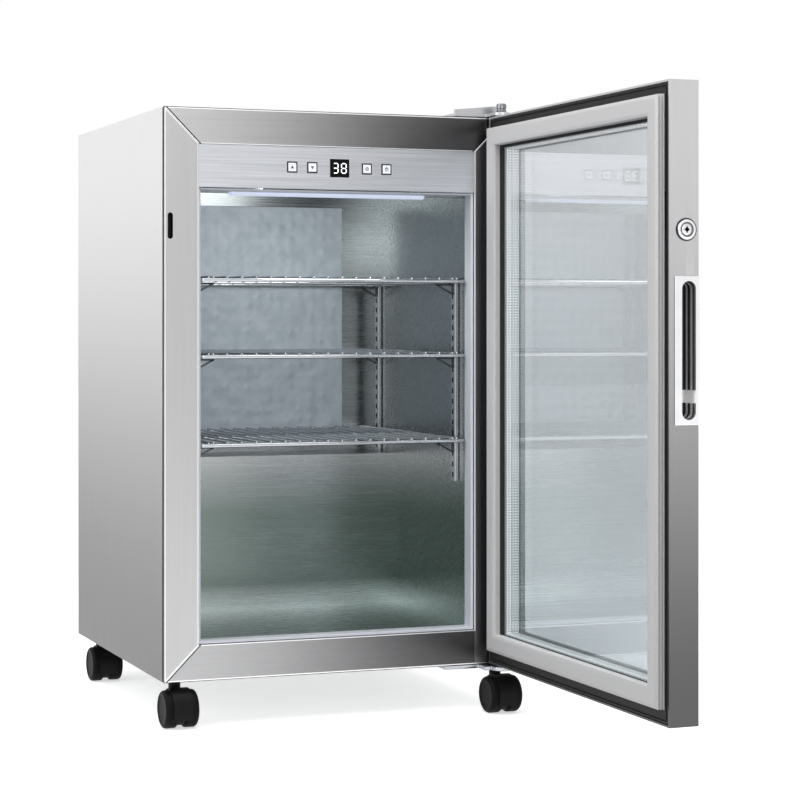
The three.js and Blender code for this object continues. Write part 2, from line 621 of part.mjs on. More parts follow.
// A welded wire shelf: a ring with ears in front of the rails, and bars running front to back.
function wireShelf(shelfTop) {
  const z = ringHeight(shelfTop);
  const ear = RING_WIRE / 2 + 1;
  const slim = RAIL.deep + GAP + RING_WIRE / 2 + 1;
  const earBack = RAIL.front - RAIL.wide / 2 - RING_WIRE / 2 - 2;
  const left = [
    [INNER.x0 + slim, SHELF_BACK], [INNER.x0 + slim, earBack + 3], [INNER.x0 + ear, earBack - 3],
    [INNER.x0 + ear, SHELF_FRONT + 4], [INNER.x0 + ear + 4, SHELF_FRONT],
  ];
  const right = [...left].reverse().map(([x, y]) => [WIDTH - x, y]);
  const ring = [...left, ...right].map(([x, y]) => [x, y, z]);
  const [rearStart, rearEnd] = [ring[0][0] - 1, ring.at(-1)[0] + 1];
  const rear = rod(
    [rearStart, SHELF_BACK, z], [rearEnd, SHELF_BACK, z], RING_WIRE / 2, WIRE_SIDES);
  const barZ = shelfTop - BAR_WIRE / 2;
  const paired = SIDE_BARS.map((inset) => MID_X - INNER.x0 - inset);
  const count = Math.floor((2 * Math.min(...paired)) / BAR_PITCH);
  const offsets = Array.from({ length: count }, (_, i) => (i - (count - 1) / 2) * BAR_PITCH);
  const bars = [...offsets, ...paired, ...paired.map((d) => -d)].map((d) =>
    rod([MID_X + d, SHELF_FRONT - 2, barZ], [MID_X + d, SHELF_BACK + 2, barZ], BAR_WIRE / 2, 4));
  const ties = [SHELF_FRONT + 11, (SHELF_FRONT + SHELF_BACK) / 2].map((y) =>
    rod([INNER.x0 + slim, y, z + 0.5], [INNER.x1 - slim, y, z + 0.5], RING_WIRE / 2 - 0.5, WIRE_SIDES));
  return join(bentRod(ring, RING_WIRE / 2, WIRE_SIDES), rear, ...ties, ...bars);
}

function addShelves() {
  for (const [level, top] of Object.entries(SHELF_TOPS)) {
    place(root, `wire_shelf_${level}`, wireShelf(top), CHROME);
  }
}

// ---- hinges ----

// The upper bracket lies on the top sheet; its folded front flange rises toward the pin.
function addTopHinge() {
  const z = HEIGHT + GAP;
  const left = WIDTH - BRACKET.reach + ARM.left;
  const right = WIDTH - BRACKET.sideInset - 1;
  const flat = [z, z + BRACKET.sheet];
  const end = PIN.x - ARM.half + ARM.right;
  const flange = outline([
    [left, z], [end, z], [end, z + BRACKET.topThick + ARM.rise], [left, z + BRACKET.topThick],
  ]);
  const at = [PIN.x, PIN.y, 0];
  const bracket = cut(
    join(
      box([left, right], [0, BRACKET.back - 16], flat),
      box([PIN.x - ARM.half, PIN.x + ARM.half], [PIN.y, 1], flat),
      cylinder("z", ARM.half, ...flat, at, ROUND),
      prism(flange, "y", 0, ARM.thick)),
    cylinder("z", PIN_RADIUS + GAP, z - 1, z + BRACKET.sheet + 1, at));
  place(root, "top_hinge_bracket", bracket, LIGHT_STEEL);
  const seat = flat[1] + GAP;
  const pin = turned([
    [0, DOOR.z1 - PIN_DEPTH], [PIN_RADIUS, DOOR.z1 - PIN_DEPTH], [PIN_RADIUS, seat],
    [PIN_HEAD.radius, seat], [PIN_HEAD.radius, seat + PIN_HEAD.straight],
    [PIN_HEAD.crown, seat + PIN_HEAD.tall], [0, seat + PIN_HEAD.tall],
  ], [PIN.x, PIN.y]);
  place(root, "top_hinge_pin", pin, CHROME);
}

// The lower bracket lies under the base, carries the door on its collared pin and takes a caster.
function addBottomHinge() {
  const z = [BRACKET_UNDER, -GAP];
  const caster = CASTERS.front_right;
  const through = [BRACKET_UNDER - 1, 1];
  const right = WIDTH - BRACKET.sideInset;
  const neck = [PIN.x - 22, right];
  const bracket = cut(
    join(
      box([WIDTH - BRACKET.reach, right], [2, BRACKET.back], z),
      box(neck, [PIN.y + 2, 3], z),
      cylinder("z", BRACKET.nose, ...z, [PIN.x, PIN.y, 0], ROUND)),
    cylinder("z", PIN_RADIUS + GAP, ...through, [PIN.x, PIN.y, 0]),
    cylinder("z", PINTLE.radius + PINTLE.fit, ...through, [caster.x, caster.y, 0]));
  place(root, "bottom_hinge_bracket", bracket, CHROME);
  const pin = turned([
    [0, BRACKET_UNDER], [PIN_RADIUS, BRACKET_UNDER], [PIN_RADIUS, 0], [PIN_HEAD.radius, 0],
    [PIN_HEAD.radius, DOOR.z0 - GAP], [PIN_RADIUS, DOOR.z0 - GAP], [PIN_RADIUS, DOOR.z0 + PIN_DEPTH],
    [0, DOOR.z0 + PIN_DEPTH],
  ], [PIN.x, PIN.y]);
  place(root, "bottom_hinge_pin", pin, CHROME);
}

// ---- door: drawn closed, with the hinge axis at the group's origin ----

// A block that follows the door's outline at a distance, between two depths.
function doorBlock(insetX, insetZ, y) {
  return box(
    [DOOR.handle + insetX, DOOR.hinge - insetX], y, [DOOR.z0 + insetZ, DOOR.z1 - insetZ]);
}

// A picture-frame ring between two distances from the door's outline.
function doorRing(outX, outZ, inner, [y0, y1]) {
  return cut(doorBlock(outX, outZ, [y0, y1]), doorBlock(inner, inner, [y0 - 1, y1 + 1]));
}

const RECESS = DOOR.inner - LINER_THICK - 2 * GAP; // floor of the recess for the inner liner

// The narrow space in which the lock cam turns, open toward the cabinet.
function camPocket(y) {
  return box(
    [CAM_X - CAM_POCKET.wide / 2, CAM_X + CAM_POCKET.wide / 2], y,
    [LOCK_Z - CAM_POCKET.below, LOCK_Z + CAM_POCKET.above]);
}

// The steel door: rebated for the glass, recessed for the liner, pocketed for lock and handle.
function addDoorFrame() {
  const depth = [DOOR.outer, DOOR.inner];
  const bores = [[DOOR.z0 - 1, DOOR.z0 + PIN_DEPTH + 1], [DOOR.z1 - PIN_DEPTH - 1, DOOR.z1 + 1]];
  const frame = cut(
    doorRing(0, 0, BORDER, depth),
    doorBlock(REBATE, REBATE, [RECESS - GLASS_STACK, DOOR.inner + 1]),
    doorBlock(LIP, LIP, [RECESS, DOOR.inner + 1]),
    ...bores.map(([z0, z1]) => cylinder("z", PIN_RADIUS + PIN_FIT, z0, z1, [0, 0, 0])),
    cylinder("x", BARREL.radius + GAP, DOOR.handle - 1, CAM_X, [0, LOCK_Y, LOCK_Z], 24),
    camPocket([LOCK_Y - CAM.far - 1.5, RECESS + 1]),
    handleCup(GAP));
  place(doorGroup, "door_frame", frame, LIGHT_STEEL);
}

// The dark plastic ring that holds the glass from inside.
function addDoorLiner() {
  const y = [RECESS + GAP, DOOR.inner - GAP];
  const edge = LIP + 2 * GAP;
  const ring = cut(doorRing(edge, edge, LINER_INNER, y), camPocket([0, DOOR.inner + 1]));
  place(doorGroup, "door_liner", ring, [0x2c2c2d, 0.5, 0]);
}

// A block inside the gasket's outline, at a distance from it.
function gasketBlock(inset, y) {
  const side = GASKET.side + inset;
  return box(
    [DOOR.handle + side, DOOR.hinge - side], y,
    [DOOR.z0 + GASKET.bottom + inset, DOOR.z1 - GASKET.top - inset]);
}

// The magnetic gasket, which fills the gap to the frame when the door is shut.
function addGasket() {
  const [base, face] = [DOOR.inner, DOOR.inner + DOOR_GAP - GAP];
  const whole = wasm.Manifold.hull([
    gasketBlock(0, [base, face - SHOULDER.drop]), gasketBlock(SHOULDER.wide, [base, face]),
  ]);
  const ring = cut(whole, gasketBlock(GASKET.wide, [base - 1, face + 1]));
  place(doorGroup, "door_gasket", ring, GREY);
}

// Three panes and the two spacer bars between them, stacked from the outside in.
function addGlazing() {
  const inset = REBATE + 1;
  let y = RECESS - GLASS_STACK + GAP;
  const pane = (name) => {
    place(doorGroup, name, doorBlock(inset, inset, [y, y + PANE]), GLASS);
    y += PANE + GAP;
  };
  const spacer = (name) => {
    const from = LINER_INNER - SPACER_WIDTH + 1;
    place(doorGroup, name, doorRing(from, from, from + SPACER_WIDTH, [y, y + AIR_SPACE - GAP]), GREY);
    y += AIR_SPACE;
  };
  pane("outer_glass");
  spacer("outer_spacer");
  pane("middle_glass");
  spacer("inner_spacer");
  pane("inner_glass");
}

// The block that the handle's cup fills in the door's edge, grown by a clearance.
function handleCup(grow) {
  const wide = HANDLE.slotWide + 2 * (HANDLE_CUP.wall + grow);
  const tall = HANDLE.slotTall + 2 * (HANDLE_CUP.wall + grow);
  const from = grow > 0 ? DOOR.handle - 1 : DOOR.handle - GAP - HANDLE.plate;
  return slot("x", wide, tall, [HANDLE_CUP.y, HANDLE_Z], from,
    DOOR.handle + HANDLE_CUP.depth + HANDLE_CUP.wall + grow);
}

// The finger pull: a plate on the door's edge with a deep round-ended cup behind it.
function addHandle() {
  const outside = DOOR.handle - GAP;
  const plate = box(
    [outside - HANDLE.plate, outside], [DOOR.outer, DOOR.outer + HANDLE.wide],
    [HANDLE_Z - HANDLE.tall / 2, HANDLE_Z + HANDLE.tall / 2]);
  const hollow = slot("x", HANDLE.slotWide, HANDLE.slotTall, [HANDLE_CUP.y, HANDLE_Z],
    outside - HANDLE.plate - 1, DOOR.handle + HANDLE_CUP.depth);
  place(doorGroup, "handle", cut(join(plate, handleCup(0)), hollow), CHROME);
}

// The key lock in the door's edge: a fixed barrel, and a plug that turns with its cam.
function addLock() {
  const at = [0, LOCK_Y, LOCK_Z];
  const face = DOOR.handle - GAP;
  const inside = DOOR.handle + BARREL.length;
  const bore = cylinder("x", PLUG_RADIUS + GAP, face - 5, inside + 1, at, 24);
  const barrel = cut(
    join(
      cylinder("x", BARREL.bezel, face - BARREL.bezelThick, face, at, ROUND),
      cylinder("x", BARREL.radius, face - 1, inside, at, 24)),
    bore);
  place(doorGroup, "lock_barrel", barrel, CHROME);

  const camFace = CAM_X - CAM.thick / 2;
  const keyway = box(
    [face - 5, face + 3], [LOCK_Y - 0.6, LOCK_Y + 0.6], [LOCK_Z - 3.5, LOCK_Z + 3.5]);
  const plug = cut(
    cylinder("x", PLUG_RADIUS, face - BARREL.bezelThick, camFace - GAP, at, 24), keyway);
  place(doorGroup, "lock_plug", plug, CHROME);

  const across = [camFace, camFace + CAM.thick];
  const cam = join(
    cylinder("x", CAM.hub, ...across, at, 24),
    box(across, [LOCK_Y - CAM.far, LOCK_Y - CAM.near], [LOCK_Z, LOCK_Z + CAM.reach]));
  place(doorGroup, "lock_cam", cam, STEEL);
}

// ---- casters ----

// A sector round the axle, closed in front and behind where the hood ends.
function hoodSector(outer, inner, halfWidth, [x, y, z]) {
  const shape = new THREE.Shape();
  const [from, to] = [(1 - HOOD.back) * Math.PI, (1 - HOOD.front) * Math.PI];
  shape.absarc(0, 0, outer, from, to, false);
  shape.absarc(0, 0, inner, to, from, true);
  return prism(shape, "x", x - halfWidth, x + halfWidth).translate([0, y, z]);
}

// A twin-wheel caster body: boss and pintle on top, web, hood and axle bore below.
function casterBody({ x, y, seat, pintle }) {
  const axle = [x, y - TRAIL, AXLE_Z];
  const half = WEB / 2;
  const hood = hoodSector(HOOD.outer, HOOD.inner, HOOD.halfWidth, axle);
  const web = join(
    cylinder("x", WEB_RADIUS, x - half, x + half, axle, ROUND),
    hoodSector(HOOD.outer - WELD, WEB_RADIUS - 1, half, axle));
  const wheelSpace = [[x - 30, x - half], [x + half, x + 30]].map(([from, to]) =>
    cylinder("x", HOOD.inner, from, to, axle, ROUND));
  const boss = cylinder("z", BOSS_RADIUS, AXLE_Z + 6, seat, [x, y, 0]);
  const stem = cylinder("z", PINTLE.radius, seat - 1, seat + pintle, [x, y, 0]);
  const bore = cylinder("x", AXLE_RADIUS + GAP, x - WEB, x + WEB, axle);
  return cut(join(cut(boss, ...wheelSpace), stem, hood, web), bore);
}

// Both wheels of one caster on their common axle.
function wheelPair({ x, y }) {
  const r = WHEEL_RADIUS;
  const a = WEB / 2 + GAP;
  const b = a + WHEEL_WIDTH;
  const profile = [
    [0, a], [r, a], [r, b - 4], [r - 1.2, b - 1.2], [r - 4, b], [0, b],
  ];
  const wheel = (side) => {
    const points = profile.map(([radius, along]) => new THREE.Vector2(radius, along));
    const geometry = new THREE.LatheGeometry(points, ROUND);
    geometry.rotateZ(side > 0 ? -Math.PI / 2 : Math.PI / 2);
    return solidOf(geometry.translate(x, y - TRAIL, AXLE_Z));
  };
  const axle = cylinder("x", AXLE_RADIUS, x - a - 1, x + a + 1, [x, y - TRAIL, AXLE_Z]);
  return join(wheel(1), wheel(-1), axle);
}

function addCasters() {
  for (const [corner, caster] of Object.entries(CASTERS)) {
    place(root, `caster_${corner}`, casterBody(caster), BLACK);
    place(root, `wheels_${corner}`, wheelPair(caster), [0x161616, 0.6, 0]);
  }
}

// ---- assembly ----
addOuterSheets();
addBasePlate();
addFrontFrame();
addStrikePocket();
addThermalBreak();
addInnerLiner();
addFoam();
addThroatTrim();
addBayPanel();
addRearGrille();
addPowerInlet();
addCompressor();
addCondenser();
addFascia();
addButtons();
addDisplayWindow();
addControlHousing();
addLampCover();
addEvaporator();
addShelfRails();
addShelves();
addTopHinge();
addBottomHinge();
addDoorFrame();
addDoorLiner();
addGasket();
addGlazing();
addHandle();
addLock();
addCasters();

doorGroup.position.set(PIN.x, PIN.y, 0);
doorGroup.rotation.z = DOOR_REST;
root.add(doorGroup);

// The origin goes to the bottom centre of the whole, door open.
root.updateMatrixWorld(true);
const extent = new THREE.Box3().setFromObject(root, true);
const middle = extent.getCenter(new THREE.Vector3());
root.position.set(-middle.x, -middle.y, -extent.min.z);

export default root;
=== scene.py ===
import math

import bmesh
import bpy
from mathutils import Matrix, Vector


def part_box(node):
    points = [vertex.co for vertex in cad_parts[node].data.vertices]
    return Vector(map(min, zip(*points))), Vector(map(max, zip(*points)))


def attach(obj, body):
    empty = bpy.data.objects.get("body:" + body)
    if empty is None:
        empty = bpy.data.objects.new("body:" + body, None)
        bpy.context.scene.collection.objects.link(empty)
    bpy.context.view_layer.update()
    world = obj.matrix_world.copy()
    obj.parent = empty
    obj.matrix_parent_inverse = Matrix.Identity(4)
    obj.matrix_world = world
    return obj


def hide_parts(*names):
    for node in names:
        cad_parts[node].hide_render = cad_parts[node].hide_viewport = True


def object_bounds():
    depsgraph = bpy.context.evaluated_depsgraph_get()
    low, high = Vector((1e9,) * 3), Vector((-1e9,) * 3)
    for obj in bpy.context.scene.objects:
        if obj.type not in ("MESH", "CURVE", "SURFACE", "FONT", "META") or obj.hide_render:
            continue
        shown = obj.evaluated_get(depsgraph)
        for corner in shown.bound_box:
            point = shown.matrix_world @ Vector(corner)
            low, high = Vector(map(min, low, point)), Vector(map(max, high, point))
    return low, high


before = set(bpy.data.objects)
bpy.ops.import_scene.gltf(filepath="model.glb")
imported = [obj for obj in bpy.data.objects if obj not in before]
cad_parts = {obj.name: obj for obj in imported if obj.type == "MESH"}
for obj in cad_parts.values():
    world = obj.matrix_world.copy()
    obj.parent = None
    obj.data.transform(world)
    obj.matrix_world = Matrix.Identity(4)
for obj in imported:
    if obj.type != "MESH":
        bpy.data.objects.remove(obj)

cad_low, cad_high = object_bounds()

# ---- Camera, lamps, floor ----
# A level camera stands at the fridge's front left, a little above half its height. A large soft
# lamp hangs overhead, a second stands at the left and a weak one fills from the front.
camera_data = bpy.data.cameras.new("camera")
camera_data.lens = 94.1
camera_data.shift_x, camera_data.shift_y = 0.125, -0.0995
camera = bpy.data.objects.new("camera", camera_data)
camera.location = (-0.938, -2.426, 0.497)
camera.rotation_euler = (math.radians(90), 0, math.radians(-19.83))
bpy.context.scene.collection.objects.link(camera)
bpy.context.scene.camera = camera
bpy.context.scene.view_settings.view_transform = "Standard"


def add_lamp(name, place, target, size, watts):
    data = bpy.data.lights.new(name, "AREA")
    data.shape, data.size, data.energy = "SQUARE", size, watts
    lamp = bpy.data.objects.new(name, data)
    lamp.location = place
    lamp.rotation_euler = (Vector(target) - Vector(place)).to_track_quat("-Z", "Y").to_euler()
    bpy.context.scene.collection.objects.link(lamp)


middle_height = (cad_low.z + cad_high.z) / 2
add_lamp("overhead_lamp", (-0.3, -0.5, 2.6), (0, 0, middle_height), 2.2, 34)
add_lamp("left_lamp", (-2.4, -0.3, 1.6), (0, 0, middle_height), 1.6, 16)
add_lamp("front_lamp", (-0.4, -3.4, 1.5), (0, 0, middle_height), 1.4, 14)


def linear(hex_colour):
    """The linear RGBA of an sRGB hex colour."""
    parts = [int(hex_colour[i:i + 2], 16) / 255 for i in (1, 3, 5)]
    return [p / 12.92 if p <= 0.04045 else ((p + 0.055) / 1.055) ** 2.4 for p in parts] + [1]


def add_node(tree, kind, inputs=None, **settings):
    """Adds a node; each input is a value, or a socket to link, or a node for its first output."""
    node = tree.nodes.new("ShaderNode" + kind)
    for name, value in settings.items():
        setattr(node, name, value)
    for name, value in (inputs or {}).items():
        if isinstance(value, bpy.types.Node):
            value = value.outputs[0]
        if isinstance(value, bpy.types.NodeSocket):
            tree.links.new(value, node.inputs[name])
        else:
            node.inputs[name].default_value = value
    return node


def set_tones(ramp, tones):
    """Sets the stops of a colour ramp to (place, colour) pairs in rising order."""
    stops = ramp.color_ramp.elements
    for place, colour in tones[1:-1]:
        stops.new(place).color = linear(colour)
    for end in (0, -1):
        stops[end].position, stops[end].color = tones[end][0], linear(tones[end][1])


def white_rays(tree):
    """1 for the rays that are to see the white backdrop: camera, glossy and transmission rays."""
    path = add_node(tree, "LightPath")
    seen = path.outputs["Is Camera Ray"]
    for kind in ("Is Glossy Ray", "Is Transmission Ray"):
        seen = add_node(tree, "Math", {0: seen, 1: path.outputs[kind]}, operation="MAXIMUM")
    return seen


world = bpy.data.worlds.new("studio")
world.use_nodes = True
bpy.context.scene.world = world
tree = world.node_tree
tree.nodes.clear()
seen = white_rays(tree)
up = add_node(tree, "SeparateXYZ", {0: add_node(tree, "TexCoord").outputs["Generated"]})
sky = add_node(tree, "ValToRGB", {0: up.outputs["Z"]})
set_tones(sky, [(0.0, "#8f8f8f"), (0.35, "#d4d4d4")])
room = add_node(tree, "Background", {"Color": sky.outputs["Color"], "Strength": 0.9})
white = add_node(tree, "Background", {"Color": linear("#ffffff"), "Strength": 1.0})
mixed = add_node(tree, "MixShader", {0: seen, 1: room, 2: white})
add_node(tree, "OutputWorld", {"Surface": mixed})

bm = bmesh.new()
bmesh.ops.create_grid(bm, x_segments=1, y_segments=1, size=12)
floor_mesh = bpy.data.meshes.new("floor")
bm.to_mesh(floor_mesh)
bm.free()
floor = bpy.data.objects.new("floor", floor_mesh)
bpy.context.scene.collection.objects.link(floor)
floor_paint = bpy.data.materials.new("matt_floor_paint")
floor_paint.use_nodes = True
tree = floor_paint.node_tree
tree.nodes.clear()
seen = white_rays(tree)
paint = add_node(tree, "BsdfDiffuse", {"Color": linear("#9a9a9a")})
pale = add_node(tree, "BsdfDiffuse", {"Color": linear("#f6f6f6")})
glow = add_node(tree, "Emission", {"Color": linear("#ffffff"), "Strength": 0.56})
pale_glow = add_node(tree, "AddShader", {0: pale, 1: glow})
mixed = add_node(tree, "MixShader", {0: seen, 1: paint, 2: pale_glow})
add_node(tree, "OutputMaterial", {"Surface": mixed})
floor_mesh.materials.append(floor_paint)


# ---- Outer sheets: two sides, top and back ----
# Bent 0.8 mm stainless sheet with a fine satin grain. Its edges are folded, so they catch a thin
# line of light, and painted shade darkens the sheet toward the floor. The grain is drawn coarser
# than real.
NOISE_LOW, NOISE_HIGH = 0.25, 0.75
GRAIN_MM = 1.6


def new_material(name, **values):
    """A material with a Principled shader; values set its sockets, such as Base_Color."""
    made = bpy.data.materials.new(name)
    made.use_nodes = True
    shader = made.node_tree.nodes["Principled BSDF"]
    for socket, value in values.items():
        shader.inputs[socket.replace("_", " ")].default_value = value
    return made, made.node_tree, shader


def grain(tree, shader, along, across_mm, length_mm, depth_mm, rough, spread):
    """Brushed grain along one axis: it moves the roughness and the surface a little."""
    scale = [1000 / across_mm] * 3
    scale["XYZ".index(along)] = 1000 / length_mm
    place = add_node(tree, "Mapping", {
        "Vector": add_node(tree, "TexCoord").outputs["Object"], "Scale": scale})
    noise = add_node(tree, "TexNoise", {
        "Vector": place, "Scale": 1.0, "Detail": 4.0, "Roughness": 0.6})
    to_rough = add_node(tree, "MapRange", {
        "Value": noise.outputs["Fac"], "From Min": NOISE_LOW, "From Max": NOISE_HIGH,
        "To Min": rough - spread, "To Max": rough + spread})
    bump = add_node(tree, "Bump", {
        "Height": noise.outputs["Fac"], "Distance": depth_mm / 1000, "Strength": 1.0})
    tree.links.new(to_rough.outputs[0], shader.inputs["Roughness"])
    tree.links.new(bump.outputs[0], shader.inputs["Normal"])
    return noise.outputs["Fac"]


def graded(tree, axis, start, end, start_colour, end_colour):
    """A colour that runs smoothly from one tone to another along an axis."""
    place = add_node(tree, "SeparateXYZ", {0: add_node(tree, "TexCoord").outputs["Object"]})
    share = add_node(tree, "MapRange", {
        "Value": place.outputs[axis], "From Min": start, "From Max": end},
        interpolation_type="SMOOTHSTEP")
    return add_node(tree, "Mix", {
        "Factor": share, "A": linear(start_colour), "B": linear(end_colour)},
        data_type="RGBA").outputs["Result"]


def streaked(tree, tone, streaks, contrast):
    """The tone, lighter and darker by a share of itself along the grain."""
    level = add_node(tree, "MapRange", {
        "Value": streaks, "From Min": NOISE_LOW, "From Max": NOISE_HIGH,
        "To Min": 1 - contrast, "To Max": 1 + contrast})
    return add_node(tree, "VectorMath", {0: tone, "Scale": level}, operation="SCALE").outputs[0]


def steel(name, low_colour, high_colour, along, rough, contrast=0.03, across_mm=GRAIN_MM):
    """Satin stainless steel whose tone changes over the fridge's height: painted shade, from the low
    colour up to the high one.
    """
    made, tree, shader = new_material(name, Metallic=1.0)
    streaks = grain(tree, shader, along, across_mm, 160, 0.004, rough, 0.04)
    tone = graded(tree, "Z", cad_low.z + 0.06, cad_high.z - 0.03, low_colour, high_colour)
    tree.links.new(streaked(tree, tone, streaks, contrast), shader.inputs["Base Color"])
    return made


def add_piece(name, bm, material, body, slot, *nodes, smooth=50):
    """A finished bmesh as an object that rides on a body and may stand for CAD nodes."""
    mesh = bpy.data.meshes.new(name)
    bmesh.ops.dissolve_degenerate(bm, dist=1e-6, edges=bm.edges)
    bm.to_mesh(mesh)
    bm.free()
    mesh.shade_smooth()
    mesh.set_sharp_from_angle(angle=math.radians(smooth))
    piece = bpy.data.objects.new(name, mesh)
    bpy.context.scene.collection.objects.link(piece)
    mesh.materials.append(material)
    even = piece.modifiers.new("flat_faces_stay_flat", "WEIGHTED_NORMAL")
    even.keep_sharp = True
    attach(piece, body)
    if nodes:
        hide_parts(*nodes)
    return piece


def merged_copy(node, smallest_angle=1.0):
    """A bmesh of a CAD node with its triangles joined into whole faces."""
    bm = bmesh.new()
    bm.from_mesh(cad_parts[node].data)
    bmesh.ops.remove_doubles(bm, verts=bm.verts, dist=1e-6)
    bmesh.ops.dissolve_limit(bm, angle_limit=math.radians(smallest_angle),
                             verts=bm.verts, edges=bm.edges)
    return bm


def bevel_edges(bm, width_mm, segments=2, shortest_mm=0, least_angle=40):
    """Rounds every edge that is sharp and long enough."""
    edges = [e for e in bm.edges if len(e.link_faces) == 2
             and e.calc_length() * 1000 >= shortest_mm
             and e.calc_face_angle(0) > math.radians(least_angle)]
    bmesh.ops.bevel(bm, geom=edges, offset=width_mm / 1000, offset_type="OFFSET",
                    affect="EDGES", segments=segments, profile=0.5, material=-1,
                    clamp_overlap=True)


def rounded_piece(node, material, body, slot, width_mm, segments=2, shortest_mm=0):
    bm = merged_copy(node)
    bevel_edges(bm, width_mm, segments, shortest_mm)
    return add_piece(node + "_finished", bm, material, body, slot, node)


side_steel = steel("satin_stainless_side_sheet", "#6a6a6b", "#e8e8e9", "Z", 0.40)
for node in ("left_side_panel", "right_side_panel", "top_panel", "rear_panel"):
    rounded_piece(node, side_steel, "cabinet", "shell_steel", 0.3)


# ---- Front frame: four folded members ----
# Stainless strip, mitred at three corners like a picture frame and butted at the lower right one.
# Painted highlights line the folded edges and mitres, in painted dark outlines, and painted
# shade darkens the right-hand side.
frame_low, frame_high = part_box("frame_left_stile")[0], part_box("frame_right_stile")[1]
frame_middle = (frame_low + frame_high) / 2
FRAME_FACE = 0.044
FOLD = 0.0012
FOLD_BRIGHT, FOLD_DARK = 1.7 * FOLD, 0.6 * FOLD
MITRE_HALF, MITRE_SHADE_AT, MITRE_SHADE_HALF = 1.3 * FOLD, 2.2 * FOLD, 0.9 * FOLD


def frame_steel(name, along, left_colour, right_colour, shade_from, shade_to, rough):
    """Satin steel that painted shade darkens to the right, with painted highlights on folds and
    mitres in a painted dark outline.
    """
    made, tree, shader = new_material(name, Metallic=1.0)
    streaks = grain(tree, shader, along, GRAIN_MM, 180, 0.004, rough, 0.04)
    tone = graded(tree, "X", shade_from, shade_to, left_colour, right_colour)
    satin = streaked(tree, tone, streaks, 0.04)
    place = add_node(tree, "SeparateXYZ", {0: add_node(tree, "TexCoord").outputs["Object"]})
    depths = []
    for axis, middle, half in (("X", frame_middle.x, (frame_high.x - frame_low.x) / 2),
                               ("Z", frame_middle.z, (frame_high.z - frame_low.z) / 2)):
        offset = add_node(tree, "Math", {0: place.outputs[axis], 1: middle}, operation="SUBTRACT")
        size = add_node(tree, "Math", {0: offset}, operation="ABSOLUTE")
        depths.append(add_node(tree, "Math", {0: half, 1: size}, operation="SUBTRACT"))
    depth = add_node(tree, "Math", {0: depths[0], 1: depths[1]}, operation="MINIMUM")
    # Painted highlights at the outer and inner folds, and a painted dark outline at the outer edge.
    outer = add_node(tree, "Math", {0: depth, 1: FOLD_BRIGHT}, operation="LESS_THAN")
    edge = add_node(tree, "Math", {0: depth, 1: FOLD_DARK}, operation="LESS_THAN")
    inner = add_node(tree, "Math", {0: depth, 1: FRAME_FACE - FOLD}, operation="GREATER_THAN")
    # A painted highlight along each mitre, and a painted dark line of shade beside it.
    cross = add_node(tree, "Math", {0: depths[0], 1: depths[1]}, operation="SUBTRACT")
    away = add_node(tree, "Math", {0: cross}, operation="ABSOLUTE")
    mitre = add_node(tree, "Math", {0: away, 1: MITRE_HALF}, operation="LESS_THAN")
    mitre_shade = add_node(tree, "Math", {0: cross, 1: MITRE_SHADE_AT, 2: MITRE_SHADE_HALF}, operation="COMPARE")
    at_left = add_node(tree, "Math", {0: place.outputs["X"], 1: frame_middle.x},
                       operation="LESS_THAN")
    at_top = add_node(tree, "Math", {0: place.outputs["Z"], 1: frame_middle.z},
                      operation="GREATER_THAN")
    mitred = add_node(tree, "Math", {0: at_left, 1: at_top}, operation="MAXIMUM")
    lines = add_node(tree, "Math", {0: mitre, 1: mitred}, operation="MULTIPLY")
    for line in (outer, inner):
        lines = add_node(tree, "Math", {0: lines, 1: line}, operation="MAXIMUM")
    shade = add_node(tree, "Mix", {"Factor": lines, "A": satin, "B": linear("#f1f1f2")},
                     data_type="RGBA")
    mitre_shaded = add_node(tree, "Math", {0: mitre_shade, 1: mitred}, operation="MULTIPLY")
    dark = add_node(tree, "Math", {0: mitre_shaded, 1: edge}, operation="MAXIMUM")
    outlined = add_node(tree, "Mix", {
        "Factor": dark, "A": shade.outputs["Result"], "B": linear("#2c2c2d")}, data_type="RGBA")
    tree.links.new(outlined.outputs["Result"], shader.inputs["Base Color"])
    return made


inner_right = frame_high.x - FRAME_FACE
# Each member's tone runs left to right into painted shade toward the right-hand post.
left_steel = frame_steel("satin_stainless_left_post", "Z", "#b2b2b3", "#b4b4b5",
                         frame_low.x, frame_middle.x, 0.32)
right_steel = frame_steel("satin_stainless_right_post", "Z", "#767677", "#5c5c5d",
                          inner_right, frame_high.x, 0.30)
top_steel = frame_steel("satin_stainless_top_rail", "X", "#b9b9ba", "#4f4f50",
                        frame_low.x, inner_right, 0.30)
foot_steel = frame_steel("satin_stainless_bottom_rail", "X", "#a9a9aa", "#505051",
                         frame_low.x, inner_right, 0.30)
for node, finish in (("frame_left_stile", left_steel), ("frame_right_stile", right_steel),
                     ("frame_top_rail", top_steel), ("frame_bottom_rail", foot_steel)):
    rounded_piece(node, finish, "cabinet", "frame_steel", 0.4)


